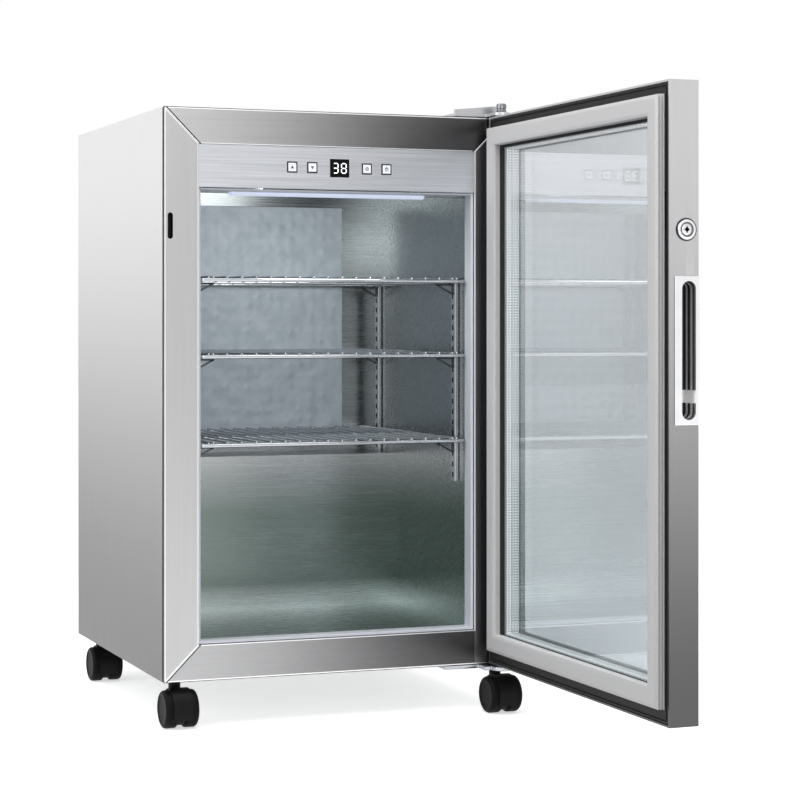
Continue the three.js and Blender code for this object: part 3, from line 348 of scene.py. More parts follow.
# ---- Dark joint behind the frame, and the strike cup ----
# Black ABS mouldings with a fine spark-eroded texture. The joint parts the warm frame from the
# cold throat and shows as a black line between frame and side sheet.
def moulded(name, colour, rough, texture_mm, depth_mm=0.02, **values):
    """Moulded plastic or rubber: a fine cell texture in its gloss and surface."""
    made, tree, shader = new_material(name, **values)
    cells = add_node(tree, "TexNoise", {
        "Vector": add_node(tree, "TexCoord").outputs["Object"],
        "Scale": 1000 / texture_mm, "Detail": 3.0})
    gloss = add_node(tree, "MapRange", {
        "Value": cells.outputs["Fac"], "To Min": rough - 0.08, "To Max": rough + 0.08})
    tone = add_node(tree, "MapRange", {
        "Value": cells.outputs["Fac"], "To Min": 0.93, "To Max": 1.07})
    shade = add_node(tree, "VectorMath", {0: linear(colour)[:3], "Scale": tone},
                     operation="SCALE")
    bump = add_node(tree, "Bump", {"Height": cells.outputs["Fac"],
                                   "Distance": depth_mm / 1000, "Strength": 1.0})
    tree.links.new(shade.outputs[0], shader.inputs["Base Color"])
    tree.links.new(gloss.outputs[0], shader.inputs["Roughness"])
    tree.links.new(bump.outputs[0], shader.inputs["Normal"])
    return made


def sweep_ring(bm, corners, profile, place):
    """Sweeps a closed profile round four mitred corners; place turns (u, v, depth) to a point."""
    (u0, v0), (u1, v1) = corners
    turns = [((u0, v0), (1, 1)), ((u1, v0), (-1, 1)), ((u1, v1), (-1, -1)), ((u0, v1), (1, -1))]
    loops = []
    for (u, v), (du, dv) in turns:
        ring = [bm.verts.new(place(u + du * inset, v + dv * inset, depth))
                for inset, depth in profile]
        loops.append([bm.edges.new((a, b)) for a, b in zip(ring, ring[1:] + ring[:1])])
    for first, second in zip(loops, loops[1:] + loops[:1]):
        bmesh.ops.bridge_loops(bm, edges=first + second)
    bmesh.ops.recalc_face_normals(bm, faces=bm.faces)


def rounded_section(points, radius, steps=3):
    """A closed section with its corners rounded by a radius."""
    out = []
    count = len(points)
    for i in range(count):
        here = Vector(points[i])
        before = (Vector(points[i - 1]) - here)
        after = (Vector(points[(i + 1) % count]) - here)
        cut = min(radius, before.length * 0.45, after.length * 0.45)
        start, end = here + before.normalized() * cut, here + after.normalized() * cut
        for k in range(steps + 1):
            t = k / steps
            out.append(tuple(start.lerp(here, t).lerp(here.lerp(end, t), t)))
    return out


def dress(material, *nodes):
    """Gives CAD nodes that keep their shape a finished material."""
    for node in nodes:
        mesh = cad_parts[node].data
        mesh.materials.clear()
        mesh.materials.append(material)


black_abs = moulded("black_abs_moulding", "#0e0e0f", 0.5, 0.8, Specular_IOR_Level=0.25)
low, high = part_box("thermal_break")
proud = 0.0015
bm = bmesh.new()
bead = rounded_section(
    [(0, 0), (proud - 0.0001, 0), (proud - 0.0001, high.y - low.y), (0, high.y - low.y)], 0.0005)
sweep_ring(bm, ((low.x - proud, low.z - proud), (high.x + proud, high.z + proud)), bead,
           lambda u, v, d: (u, low.y + d, v))
add_piece("thermal_break_bead", bm, black_abs, "cabinet", "black_plastic")
dress(black_abs, "thermal_break", "strike_pocket")


# ---- Liner, insulation, base ----
# The tub is 2B-finish stainless, duller and greener than the outside, in bands of painted light
# and shade up its height. The foam is rigid polyurethane and shows only where the machine bay is
# open. The base is galvanised sheet.
def lined_steel(name, tones, rough, low, high):
    """Dull streaked steel; tones are (place, colour) of painted light and shade up the height from
    low to high.
    """
    made, tree, shader = new_material(name, Metallic=1.0)
    streaks = grain(tree, shader, "X", 2.2, 260, 0.01, rough, 0.05)
    height = add_node(tree, "SeparateXYZ", {0: add_node(tree, "TexCoord").outputs["Object"]})
    share = add_node(tree, "MapRange", {
        "Value": height.outputs["Z"], "From Min": low, "From Max": high})
    ramp = add_node(tree, "ValToRGB", {0: share})
    set_tones(ramp, tones)
    tree.links.new(streaked(tree, ramp, streaks, 0.07), shader.inputs["Base Color"])
    return made


liner_low, liner_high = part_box("inner_liner")
liner_steel = lined_steel(
    "2b_stainless_liner",
    [(0.0, "#c9d2d0"), (0.02, "#b4bdbb"), (0.06, "#6f7b77"), (0.22, "#707b77"), (0.30, "#939898"),
     (0.36, "#b3b5b6"), (0.42, "#959a9b"), (1.0, "#959a9b")], 0.26, liner_low.z, liner_high.z)
dress(liner_steel, "inner_liner")
foam = moulded("rigid_polyurethane_foam", "#dcc98a", 0.9, 3.0, 0.4)
dress(foam, "foam_insulation")


def spangled_steel(name, colour, spangle_mm):
    """Galvanised sheet: flat zinc crystals of slightly different brightness."""
    made, tree, shader = new_material(name, Metallic=1.0, Roughness=0.42)
    crystals = add_node(tree, "TexVoronoi", {
        "Vector": add_node(tree, "TexCoord").outputs["Object"], "Scale": 1000 / spangle_mm})
    tone = add_node(tree, "MapRange", {
        "Value": crystals.outputs["Distance"], "To Min": 0.85, "To Max": 1.1})
    shade = add_node(tree, "VectorMath", {0: linear(colour)[:3], "Scale": tone},
                     operation="SCALE")
    tree.links.new(shade.outputs[0], shader.inputs["Base Color"])
    return made


galvanised = spangled_steel("galvanised_base_steel", "#a3a5a6", 9)
dress(galvanised, "base_plate", "machine_bay_panel")


# ---- Throat trim and control housing ----
# White ABS: a thin ring that bridges frame and liner, and the box above the cold space.
white_abs = moulded("white_abs_moulding", "#e3e5ee", 0.35, 0.7, Coat_Weight=0.15)
trim_low, trim_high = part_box("throat_trim")
trim_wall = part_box("inner_liner")[0].x + 0.001 - trim_low.x
trim_depth = trim_high.y - trim_low.y
bm = bmesh.new()
section = rounded_section(
    [(0, 0), (trim_wall, 0), (trim_wall, trim_depth), (0, trim_depth)], 0.0012)
sweep_ring(bm, ((trim_low.x, trim_low.z), (trim_high.x, trim_high.z)), section,
           lambda u, v, d: (u, trim_low.y + d, v))
add_piece("throat_trim_moulding", bm, white_abs, "cabinet", "white_plastic", "throat_trim")
dress(white_abs, "control_housing")
board = moulded("green_fr4_board", "#1f6a46", 0.35, 5.0)
dress(board, "control_board")


# ---- Control fascia, keys and display ----
# A strip of horizontally brushed stainless with four lit acrylic keys and a smoked window that
# shows two seven-segment digits.
fascia_steel = steel("brushed_stainless_fascia", "#bfc1c6", "#bfc1c6", "X", 0.36, 0.2, 1.5)
rounded_piece("control_fascia", fascia_steel, "cabinet", "frame_steel", 0.35)

key_rim = moulded("black_acrylic_key_rim", "#26282c", 0.3, 1.0)
key_face = new_material(
    "lit_white_acrylic_key", Base_Color=linear("#f1f2f6"), Roughness=0.25,
    Emission_Color=linear("#f4f6ff"), Emission_Strength=0.35, Coat_Weight=0.4)[0]
key_mark = moulded("printed_grey_mark", "#6d7178", 0.5, 1.0)
MARK_SIZE, MARK_DEEP = 0.0024, 0.0003
LENS_HALF = 0.0053


def box_between(bm, low, high):
    """An upright box between two corners."""
    low, high = Vector(low), Vector(high)
    made = bmesh.ops.create_cube(bm, size=1)["verts"]
    bmesh.ops.scale(bm, vec=high - low, verts=made)
    bmesh.ops.translate(bm, vec=(low + high) / 2, verts=made)
    return made


def middle_and_box(node):
    low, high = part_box(node)
    return (low + high) / 2, low, high


def key_marks(bm, name, centre, face):
    """A small sign on a key: an arrow, a ring with a dot, or a ring with a stroke."""
    size = MARK_SIZE
    if name in ("button_up", "button_down"):
        way = 1 if name == "button_up" else -1
        verts = [bm.verts.new((centre.x + dx * size, face, centre.z + way * dz * size))
                 for dx, dz in ((-1, -0.7), (1, -0.7), (0, 0.9))]
        bm.faces.new(verts)
    else:
        rims = []
        for radius in (size, size * 0.62):
            made = bmesh.ops.create_circle(bm, segments=24, radius=radius)["verts"]
            bmesh.ops.rotate(bm, matrix=Matrix.Rotation(math.radians(90), 3, "X"), verts=made)
            bmesh.ops.translate(bm, vec=(centre.x, face, centre.z), verts=made)
            rims += dict.fromkeys(e for v in made for e in v.link_edges)
        bmesh.ops.bridge_loops(bm, edges=rims)
    made = bmesh.ops.extrude_face_region(bm, geom=bm.faces[:])["geom"]
    bmesh.ops.translate(bm, vec=(0, MARK_DEEP, 0),
                        verts=[v for v in made if isinstance(v, bmesh.types.BMVert)])
    if name == "button_power":
        box_between(bm, (centre.x - size / 6, face, centre.z),
                    (centre.x + size / 6, face + MARK_DEEP, centre.z + size * 1.3))
    if name == "button_light":
        box_between(bm, (centre.x - size * 0.3, face, centre.z - size * 0.3),
                    (centre.x + size * 0.3, face + MARK_DEEP, centre.z + size * 0.3))
    bmesh.ops.recalc_face_normals(bm, faces=bm.faces)


for name in ("button_up", "button_down", "button_light", "button_power"):
    centre, low, high = middle_and_box(name)
    bm = merged_copy(name)
    bevel_edges(bm, 0.42, 3, 8)
    add_piece(name + "_rim", bm, key_rim, name, "key_plastic", name)
    bm = bmesh.new()
    box_between(bm, (centre.x - LENS_HALF, low.y - 0.0002, centre.z - LENS_HALF),
                (centre.x + LENS_HALF, low.y + 0.001, centre.z + LENS_HALF))
    bevel_edges(bm, 0.5, 4)
    add_piece(name + "_lens", bm, key_face, name, "key_plastic")
    bm = bmesh.new()
    key_marks(bm, name, centre, low.y - 0.00035)
    add_piece(name + "_mark", bm, key_mark, name, "key_plastic")

smoked = moulded("smoked_acrylic_window", "#050607", 0.35, 40, Specular_IOR_Level=0.12)
rounded_piece("display_window", smoked, "cabinet", "window_plastic", 0.4, 3)
digit_light = new_material(
    "white_led_segment", Base_Color=linear("#ffffff"),
    Emission_Color=linear("#f6fbff"), Emission_Strength=1.6)[0]
SEGMENTS = {"a": (0, 1, 1), "g": (0, 0, 1), "d": (0, -1, 1), "f": (-1, 0.5, 0), "b": (1, 0.5, 0),
            "e": (-1, -0.5, 0), "c": (1, -0.5, 0)}
unlit = moulded("unlit_segment", "#24272b", 0.6, 3.0, Specular_IOR_Level=0.2)
centre, low, high = middle_and_box("display_window")
face = low.y - 0.0003
half_wide, half_tall, stroke, digit_offset = 0.0031, 0.0060, 0.00055, 0.0054
for label, finish in (("lit", digit_light), ("unlit", unlit)):
    bm = bmesh.new()
    for place, lit in ((-digit_offset, "abcdg"), (digit_offset, "abcdefg")):
        for name in SEGMENTS:
            if (name in lit) != (label == "lit"):
                continue
            across, rise, flat = SEGMENTS[name]
            reach_x = half_wide - 1.6 * stroke if flat else stroke
            reach_z = stroke if flat else half_tall / 2 - 1.6 * stroke
            x = centre.x + place + across * half_wide
            z = centre.z + rise * half_tall
            box_between(bm, (x - reach_x, face, z - reach_z),
                        (x + reach_x, face + 0.0004, z + reach_z))
    add_piece("display_digits_" + label, bm, finish, "cabinet", "window_plastic")


# ---- Lamp under the housing ----
# A clear grey polycarbonate strip over a row of diodes, which are lit.
lamp_clear = moulded("grey_polycarbonate_lamp", "#a4abb6", 0.35, 2.0, Emission_Strength=0.7,
                     Emission_Color=linear("#dfe8ff"))
dress(lamp_clear, "lamp_cover")
centre, low, high = middle_and_box("lamp_cover")
add_lamp("strip_light", (centre.x, centre.y, low.z - 0.004),
         (0, high.y + 0.25, low.z - 0.2), 0.16, 0.5)


# ---- Evaporator plate ----
# Two aluminium sheets rolled together and blown up into a field of small blisters that carries
# the refrigerant, under a skin of frost.
def frosted(name, blister_mm):
    made, tree, shader = new_material(name, Metallic=0.0, Roughness=0.45)
    place = add_node(tree, "TexCoord").outputs["Object"]
    frost = add_node(tree, "TexNoise", {"Vector": place, "Scale": 45.0, "Detail": 6.0})
    tone = add_node(tree, "ValToRGB", {0: frost.outputs["Fac"]})
    set_tones(tone, [(0.3, "#c2ced7"), (0.7, "#d6e1e9")])
    blisters = add_node(tree, "TexVoronoi", {
        "Vector": place, "Scale": 1000 / blister_mm, "Randomness": 0.45},
        feature="SMOOTH_F1")
    bump = add_node(tree, "Bump", {
        "Height": blisters.outputs["Distance"], "Distance": 0.006, "Strength": 0.7},
        invert=True)
    tree.links.new(tone.outputs[0], shader.inputs["Base Color"])
    tree.links.new(bump.outputs[0], shader.inputs["Normal"])
    return made


frosted_aluminium = frosted("frosted_rolled_aluminium", 16)
rounded_piece("evaporator_plate", frosted_aluminium, "cabinet", "evaporator_aluminium", 1.0)


# ---- Shelf rails and clips ----
# Chrome-plated channels fixed upright to the liner, punched with slots. Under each shelf a
# triangular clip, pressed from sheet with a folded lip, hooks into the slots.
def rounded_path(points, radius, steps=5, closed=True):
    """The points of a bent rod: straight lengths with a round bend at each corner."""
    out = [] if closed else [Vector(points[0])]
    if closed:
        points = points[-1:] + points + points[:1]
    for before, here, after in zip(points, points[1:], points[2:]):
        here = Vector(here)
        start = here + (Vector(before) - here).normalized() * radius
        end = here + (Vector(after) - here).normalized() * radius
        for k in range(steps + 1):
            t = k / steps
            out.append(start.lerp(here, t).lerp(here.lerp(end, t), t))
    return out if closed else out + [Vector(points[-1])]


def bend_rod(bm, points, diameter, sides=12, closed=False):
    """Adds a round rod along points, as a swept tube with closed ends or a closed loop."""
    curve = bpy.data.curves.new("rod", "CURVE")
    curve.dimensions, curve.bevel_depth, curve.bevel_resolution = "3D", diameter / 2, sides // 4
    curve.use_fill_caps = True
    spline = curve.splines.new("POLY")
    spline.points.add(len(points) - 1)
    for target, point in zip(spline.points, points):
        target.co = (*point, 1)
    spline.use_cyclic_u = closed
    carrier = bpy.data.objects.new("rod", curve)
    bpy.context.scene.collection.objects.link(carrier)
    mesh = bpy.data.meshes.new_from_object(
        carrier.evaluated_get(bpy.context.evaluated_depsgraph_get()))
    before = len(bm.verts)
    bm.from_mesh(mesh)
    bm.verts.ensure_lookup_table()
    fresh = bm.verts[before:]
    bmesh.ops.remove_doubles(bm, verts=fresh, dist=1e-6)
    bpy.data.objects.remove(carrier)
    bpy.data.curves.remove(curve)
    bpy.data.meshes.remove(mesh)


chrome = moulded("chrome_plated_steel", "#b6b9bd", 0.14, 30, 0.002, Metallic=1.0)
# The clips' chrome is darker than the rails' by painted shade.
clip_chrome = moulded("shaded_chrome_clip", "#4e5054", 0.2, 30, 0.002, Metallic=1.0)
# The slots are dark boxes of painted shade set on the channel's face in place of the holes' hollows.
dark_slot = moulded("shadowed_punched_slot", "#0c0d0f", 0.8, 2.0, Specular_IOR_Level=0.1)
SLOT_PITCH = 0.0136
RAIL_DEEP, RAIL_WIDE = 0.006, 0.012
SLOT_HALF_WIDE, SLOT_HALF_TALL = 0.0018, 0.0032
CLIP_DROP, CLIP_TIP, CLIP_WEB, CLIP_THICK = 0.015, 0.002, 0.0024, 0.0016
LIP_HALF_WIDE, LIP_THICK = 0.003, 0.001


def clip(bm, heel, tip, top, y):
    """A pierced triangle of sheet from the rail to the clip's tip, with a lip along its top."""
    corners = [(heel, top), (tip, top), (tip, top - CLIP_TIP), (heel, top - CLIP_DROP)]
    web = bm.faces.new([bm.verts.new((x, y - CLIP_THICK / 2, z)) for x, z in corners])
    web.normal_update()
    ring = bmesh.ops.inset_region(bm, faces=[web], thickness=CLIP_WEB, use_boundary=True,
                                  use_even_offset=True)["faces"]
    bmesh.ops.delete(bm, geom=[web], context="FACES_ONLY")
    made = bmesh.ops.extrude_face_region(bm, geom=ring)["geom"]
    bmesh.ops.translate(bm, vec=(0, CLIP_THICK, 0),
                        verts=[v for v in made if isinstance(v, bmesh.types.BMVert)])
    box_between(bm, (min(heel, tip), y - LIP_HALF_WIDE, top - LIP_THICK),
                (max(heel, tip), y + LIP_HALF_WIDE, top))


for corner in ("front_left", "front_right", "rear_left", "rear_right"):
    node = "shelf_rail_" + corner
    centre, low, high = middle_and_box(node)
    left = corner.endswith("left")
    wall = low.x if left else high.x
    way = 1 if left else -1
    face = wall + way * RAIL_DEEP
    tip = high.x if left else low.x
    y = centre.y
    bm = bmesh.new()
    box_between(bm, (min(wall, face), y - RAIL_WIDE / 2, low.z),
                (max(wall, face), y + RAIL_WIDE / 2, high.z))
    bevel_edges(bm, 1.4, 3, 20)
    add_piece(node + "_channel", bm, chrome, "cabinet", "chrome", node)
    bm = bmesh.new()
    for level in ("top", "middle", "bottom"):
        clip_bm = bmesh.new()
        clip(clip_bm, face - way * 0.0008, tip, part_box("wire_shelf_" + level)[0].z - 0.0003, y)
        bmesh.ops.recalc_face_normals(clip_bm, faces=clip_bm.faces)
        mesh = bpy.data.meshes.new("clip")
        clip_bm.to_mesh(mesh)
        clip_bm.free()
        bm.from_mesh(mesh)
        bpy.data.meshes.remove(mesh)
    add_piece(node + "_clips", bm, clip_chrome, "cabinet", "chrome")
    bm = bmesh.new()
    for step in range(int((high.z - low.z - 0.012) / SLOT_PITCH) + 1):
        z = low.z + 0.008 + step * SLOT_PITCH
        x = sorted((face - way * 0.0005, face + way * 0.00015))
        box_between(bm, (x[0], y - SLOT_HALF_WIDE, z - SLOT_HALF_TALL),
                    (x[1], y + SLOT_HALF_WIDE, z + SLOT_HALF_TALL))
    add_piece(node + "_slots", bm, dark_slot, "cabinet", "chrome")


# ---- Wire shelves ----
# Chrome-plated wire welded into a grid: a thick ring whose front corners bulge past the rails, two
# cross wires that tie its sides, and thin bars on top that run front to back with rounded tips.
RING, TIE, BAR = 0.005, 0.004, 0.003
RAIL_PLAY, BAR_PITCH, BAR_PAST = 0.0013, 0.019, 0.002


def wire_shelf(node, body):
    centre, low, high = middle_and_box(node)
    ring_z = low.z + RING / 2
    bar_z = high.z - BAR / 2
    rail_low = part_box("shelf_rail_front_left")[0]
    narrow = rail_low.x + RAIL_DEEP + RAIL_PLAY + RING / 2 - low.x
    ear_back = rail_low.y - RING / 2 - 0.002
    front, back = low.y + RING / 2, high.y - 0.0026
    ear = RING / 2 + 0.0003
    side = [(narrow, back), (narrow, ear_back + 0.004), (ear, ear_back - 0.005), (ear, front)]
    left = [(low.x + inset, y, ring_z) for inset, y in side]
    right = [(high.x - inset, y, ring_z) for inset, y in reversed(side)]
    bm = bmesh.new()
    bend_rod(bm, rounded_path(left + right, 0.004), RING, 16, closed=True)
    for y in (front + 0.011, (front + back) / 2):
        bend_rod(bm, [(low.x + narrow, y, ring_z), (high.x - narrow, y, ring_z)], TIE, 12)
    inner_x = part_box("inner_liner")[0].x + 0.001
    paired = [centre.x - inner_x - inset for inset in (0.014, 0.020)]
    count = int(2 * min(paired) / BAR_PITCH)
    places = [(i - (count - 1) / 2) * BAR_PITCH for i in range(count)]
    for d in places + paired + [-d for d in paired]:
        made = bmesh.ops.create_cone(
            bm, cap_ends=True, segments=12, radius1=BAR / 2, radius2=BAR / 2,
            depth=back - front + 2 * BAR_PAST)["verts"]
        bmesh.ops.rotate(bm, matrix=Matrix.Rotation(math.radians(90), 3, "X"), verts=made)
        bmesh.ops.translate(bm, vec=(centre.x + d, (front + back) / 2, bar_z), verts=made)
        faces = dict.fromkeys(f for v in made for f in v.link_faces)
        rims = [e for f in faces if len(f.verts) == 12 for e in f.edges]
        bmesh.ops.bevel(bm, geom=rims, offset=BAR / 3, offset_type="OFFSET", affect="EDGES",
                        segments=3, profile=0.5, material=-1)
    return add_piece(node + "_wires", bm, chrome, body, "chrome", node)


for level in ("top", "middle", "bottom"):
    wire_shelf("wire_shelf_" + level, "shelf_" + level)


# ---- Hinges ----
# Pressed steel brackets above and below the door, with turned pins. The lower one is bright
# plated and carries the door's weight on the collar of its pin.
bracket_steel = steel("satin_plated_bracket", "#b4b5b7", "#c0c1c3", "X", 0.34)
rounded_piece("top_hinge_bracket", bracket_steel, "cabinet", "frame_steel", 1.0, 3)
rounded_piece("bottom_hinge_bracket", chrome, "cabinet", "chrome", 0.9, 3)


def turned(bm, profile, axis_point, axis="Z", segments=48):
    """Spins a profile of (radius, along) about an axis through a point; ends lie on the axis."""
    towards = {"X": Vector((1, 0, 0)), "Y": Vector((0, 1, 0)), "Z": Vector((0, 0, 1))}[axis]
    out = Vector((0, 1, 0)) if axis == "X" else Vector((1, 0, 0))
    centre = Vector(axis_point)
    verts = [bm.verts.new(centre + out * r + towards * a) for r, a in profile]
    edges = [bm.edges.new(pair) for pair in zip(verts, verts[1:])]
    made = bmesh.ops.spin(bm, geom=verts + edges, cent=centre, axis=towards,
                          angle=2 * math.pi, steps=segments, use_merge=True)
    bmesh.ops.remove_doubles(bm, verts=bm.verts, dist=1e-6)
    bmesh.ops.recalc_face_normals(bm, faces=bm.faces)
    return made


centre, low, high = middle_and_box("top_hinge_pin")
r, head, crown, waist = 0.0035, 0.0065, 0.005, 0.0056
seat = high.z - 0.0114
bm = bmesh.new()
turned(bm, [(0, low.z), (r - 0.0006, low.z), (r, low.z + 0.0006), (r, seat), (head - 0.0004, seat),
            (head, seat + 0.0004), (head, seat + 0.0028), (waist, seat + 0.0034),
            (waist, seat + 0.0046), (head, seat + 0.0052), (head, high.z - 0.0014),
            (crown, high.z), (0, high.z)], (centre.x, centre.y, 0))
# The upper pin's chrome is darkened by painted dark reflections.
pin_chrome = moulded("chrome_pin_painted_dark", "#808286", 0.12, 30, 0.002, Metallic=1.0)
add_piece("top_hinge_pin_turned", bm, pin_chrome, "cabinet", "chrome", "top_hinge_pin")
centre, low, high = middle_and_box("bottom_hinge_pin")
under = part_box("bottom_hinge_bracket")[1].z + 0.0003
collar = under + 0.0012
bm = bmesh.new()
turned(bm, [(0, low.z), (r, low.z), (r, under), (head - 0.0002, under), (head, under + 0.0002),
            (head, collar - 0.0002), (head - 0.0002, collar), (r, collar), (r, high.z - 0.001),
            (r - 0.001, high.z), (0, high.z)], (centre.x, centre.y, 0))
add_piece("bottom_hinge_pin_turned", bm, chrome, "cabinet", "chrome", "bottom_hinge_pin")

low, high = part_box("top_hinge_bracket")
bm = bmesh.new()
plate_top = low.z + 0.004
for x in (low.x + 0.018, high.x - 0.014):
    turned(bm, [(0, plate_top + 0.0026), (0.003, plate_top + 0.0024), (0.0048, plate_top + 0.0012),
                (0.005, plate_top), (0, plate_top)], (x, high.y - 0.013, 0), segments=32)
    box_between(bm, (x - 0.003, high.y - 0.0134, plate_top + 0.002),
                (x + 0.003, high.y - 0.0126, plate_top + 0.0027))
add_piece("top_hinge_screws", bm, chrome, "cabinet", "frame_steel")


# ---- Door shell ----
# A folded stainless box section with the glass set in from behind. Seen on edge it is satin
# steel, darkened toward the floor by painted shade.
door_steel = steel("satin_stainless_door_shell", "#59595a", "#cacacb", "Z", 0.36)
rounded_piece("door_frame", door_steel, "door", "frame_steel", 0.5, 2, 30)


# ---- Door liner ----
# A black PVC extrusion behind the glass edge, with a groove that holds the gasket's foot. A narrow
# window in it lets the lock's cam swing out toward the cabinet.
def carve(piece, cutter_bm):
    """Cuts a closed solid out of a finished piece."""
    mesh = bpy.data.meshes.new("cutter")
    cutter_bm.to_mesh(mesh)
    cutter_bm.free()
    cutter = bpy.data.objects.new("cutter", mesh)
    bpy.context.scene.collection.objects.link(cutter)
    kept = [(m.name, m.type) for m in piece.modifiers]
    piece.modifiers.clear()
    hole = piece.modifiers.new("hole", "BOOLEAN")
    hole.operation, hole.object, hole.solver = "DIFFERENCE", cutter, "EXACT"
    bpy.context.view_layer.update()
    cut_mesh = bpy.data.meshes.new_from_object(
        piece.evaluated_get(bpy.context.evaluated_depsgraph_get()))
    piece.modifiers.clear()
    piece.data = cut_mesh
    cut_mesh.set_sharp_from_angle(angle=math.radians(50))
    for name, kind in kept:
        piece.modifiers.new(name, kind).keep_sharp = True
    bpy.data.objects.remove(cutter)


dark_pvc = moulded("black_pvc_extrusion", "#262627", 0.55, 1.2, Specular_IOR_Level=0.2)
LINER_INNER = 0.042
door_low, door_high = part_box("door_frame")
low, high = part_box("door_liner")
thick = high.x - low.x
opening = LINER_INNER - (low.y - door_low.y)
section = rounded_section([
    (0, thick), (0, 0.0004), (0.0010, 0), (0.0026, 0), (0.0028, thick * 0.8),
    (0.0050, thick * 0.8), (0.0052, 0), (opening, 0), (opening, thick)], 0.0003, 2)
bm = bmesh.new()
sweep_ring(bm, ((low.y, low.z), (high.y, high.z)), section, lambda u, v, d: (low.x + d, u, v))
liner = add_piece("door_liner_extrusion", bm, dark_pvc, "door", "dark_plastic", "door_liner")
cam_low, cam_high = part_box("lock_cam")
play = 0.0016
bm = bmesh.new()
box_between(bm, (low.x - 0.01, cam_low.y - play, cam_low.z - 0.002),
            (high.x + 0.01, cam_high.y + play, cam_high.z + 0.004))
carve(liner, bm)


# ---- Gasket ----
# A soft pale PVC extrusion, mitred and welded at the corners. Its flat face holds the magnet, and
# two folds in its outer wall let it stretch to the frame.
soft_pvc = moulded("soft_grey_pvc_gasket", "#dededf", 0.55, 2.5, Specular_IOR_Level=0.3)
low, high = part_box("door_gasket")
deep = high.x - low.x
wide = 0.0235
section = rounded_section([
    (0.0, deep), (0.0, deep * 0.88), (0.0030, deep * 0.82), (0.0030, deep * 0.66),
    (0.0002, deep * 0.62), (0.0002, deep * 0.52), (0.0030, deep * 0.48), (0.0030, deep * 0.32),
    (0.0005, deep * 0.28), (0.0005, deep * 0.16), (0.0045, 0.0), (wide - 0.0045, 0.0),
    (wide - 0.0010, 0.0012), (wide, 0.0030), (wide, deep)], 0.0005, 3)
bm = bmesh.new()
sweep_ring(bm, ((low.y, low.z), (high.y, high.z)), section, lambda u, v, d: (low.x + d, u, v))
add_piece("door_gasket_extrusion", bm, soft_pvc, "door", "gasket_rubber", "door_gasket")


# ---- Glazing ----
# Three panes of float glass held apart by roll-formed aluminium bars, whose perforations let the
# drying beads breathe. The panes are tinted, and painted shade darkens them a little toward the foot
# of the door.
glass, tree, shader = new_material("float_glass", IOR=1.5, Transmission_Weight=1.0)
place = add_node(tree, "TexCoord").outputs["Object"]
height = add_node(tree, "SeparateXYZ", {0: place})
rise = add_node(tree, "MapRange", {
    "Value": height.outputs["Z"], "From Min": door_low.z, "From Max": door_high.z})
tint_and_painted_shade = add_node(tree, "Mix", {
    "Factor": rise, "A": linear("#e6eaec"), "B": linear("#f9fafb")}, data_type="RGBA")
tree.links.new(tint_and_painted_shade.outputs["Result"], shader.inputs["Base Color"])
haze = add_node(tree, "TexNoise", {"Vector": place, "Scale": 14.0, "Detail": 3.0})
film = add_node(tree, "MapRange", {"Value": haze.outputs["Fac"], "To Min": 0.0, "To Max": 0.02})
tree.links.new(film.outputs[0], shader.inputs["Roughness"])
clear = add_node(tree, "BsdfTransparent", {"Color": linear("#f4f8f7")})
lit = add_node(tree, "MixShader", {
    0: add_node(tree, "LightPath").outputs["Is Shadow Ray"], 1: shader,
    2: clear})
tree.links.new(lit.outputs[0], tree.nodes["Material Output"].inputs["Surface"])
dress(glass, "outer_glass", "middle_glass", "inner_glass")

HOLE_PITCH_MM = 3.4
# The bars are given a faint glow, painted light, brighter between the holes.
perforated, tree, shader = new_material(
    "perforated_aluminium_bar", Metallic=0.1, Roughness=0.45, Emission_Strength=0.45)
place = add_node(tree, "SeparateXYZ", {0: add_node(tree, "TexCoord").outputs["Object"]})
along = add_node(tree, "Math", {0: place.outputs["Y"], 1: place.outputs["Z"]}, operation="ADD")
flat = add_node(tree, "CombineXYZ", {"X": place.outputs["X"], "Y": along})
dots = add_node(tree, "TexVoronoi", {
    "Vector": flat, "Scale": 1000 / HOLE_PITCH_MM, "Randomness": 0.0}, voronoi_dimensions="2D")
holes = add_node(tree, "ValToRGB", {0: dots.outputs["Distance"]})
set_tones(holes, [(0.26, "#74797c"), (0.40, "#fafbfb")])
tree.links.new(holes.outputs[0], shader.inputs["Base Color"])
tree.links.new(holes.outputs[0], shader.inputs["Emission Color"])
dress(perforated, "outer_spacer", "inner_spacer")


# ---- Handle ----
# A chrome-plated plate let into the door's edge, with a deep round-ended finger cup.
def obround(bm, centre, wide, tall, depth, steps=16):
    """A loop of edges with round ends, upright in the plane at a given depth."""
    radius, straight = wide / 2, (tall - wide) / 2
    points = []
    for top in (1, -1):
        for k in range(steps + 1):
            angle = math.pi * k / steps + (0 if top > 0 else math.pi)
            points.append((centre.x + radius * math.cos(angle), depth,
                           centre.z + top * straight + radius * math.sin(angle)))
    verts = [bm.verts.new(p) for p in points]
    return [bm.edges.new(pair) for pair in zip(verts, verts[1:] + verts[:1])]


low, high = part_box("handle")
plate_back = low.y + 0.0016
cup_centre = Vector((low.x + 0.017, 0, (low.z + high.z) / 2))
cup_wide, cup_tall = 0.017, 0.150
bm = bmesh.new()
box_between(bm, low, (high.x, plate_back, high.z))
bevel_edges(bm, 0.7, 3)
plate_chrome = moulded("satin_chrome_handle_plate", "#eeeef0", 0.22, 30, 0.002, Metallic=1.0)
plate_piece = add_piece("handle_plate", bm, plate_chrome, "door", "chrome", "handle")
bm = bmesh.new()
near = obround(bm, cup_centre, cup_wide, cup_tall, low.y - 0.01)
far = obround(bm, cup_centre, cup_wide, cup_tall, plate_back + 0.01)
bmesh.ops.bridge_loops(bm, edges=near + far)
bmesh.ops.contextual_create(bm, geom=near)
bmesh.ops.contextual_create(bm, geom=far)
bmesh.ops.recalc_face_normals(bm, faces=bm.faces)
carve(plate_piece, bm)


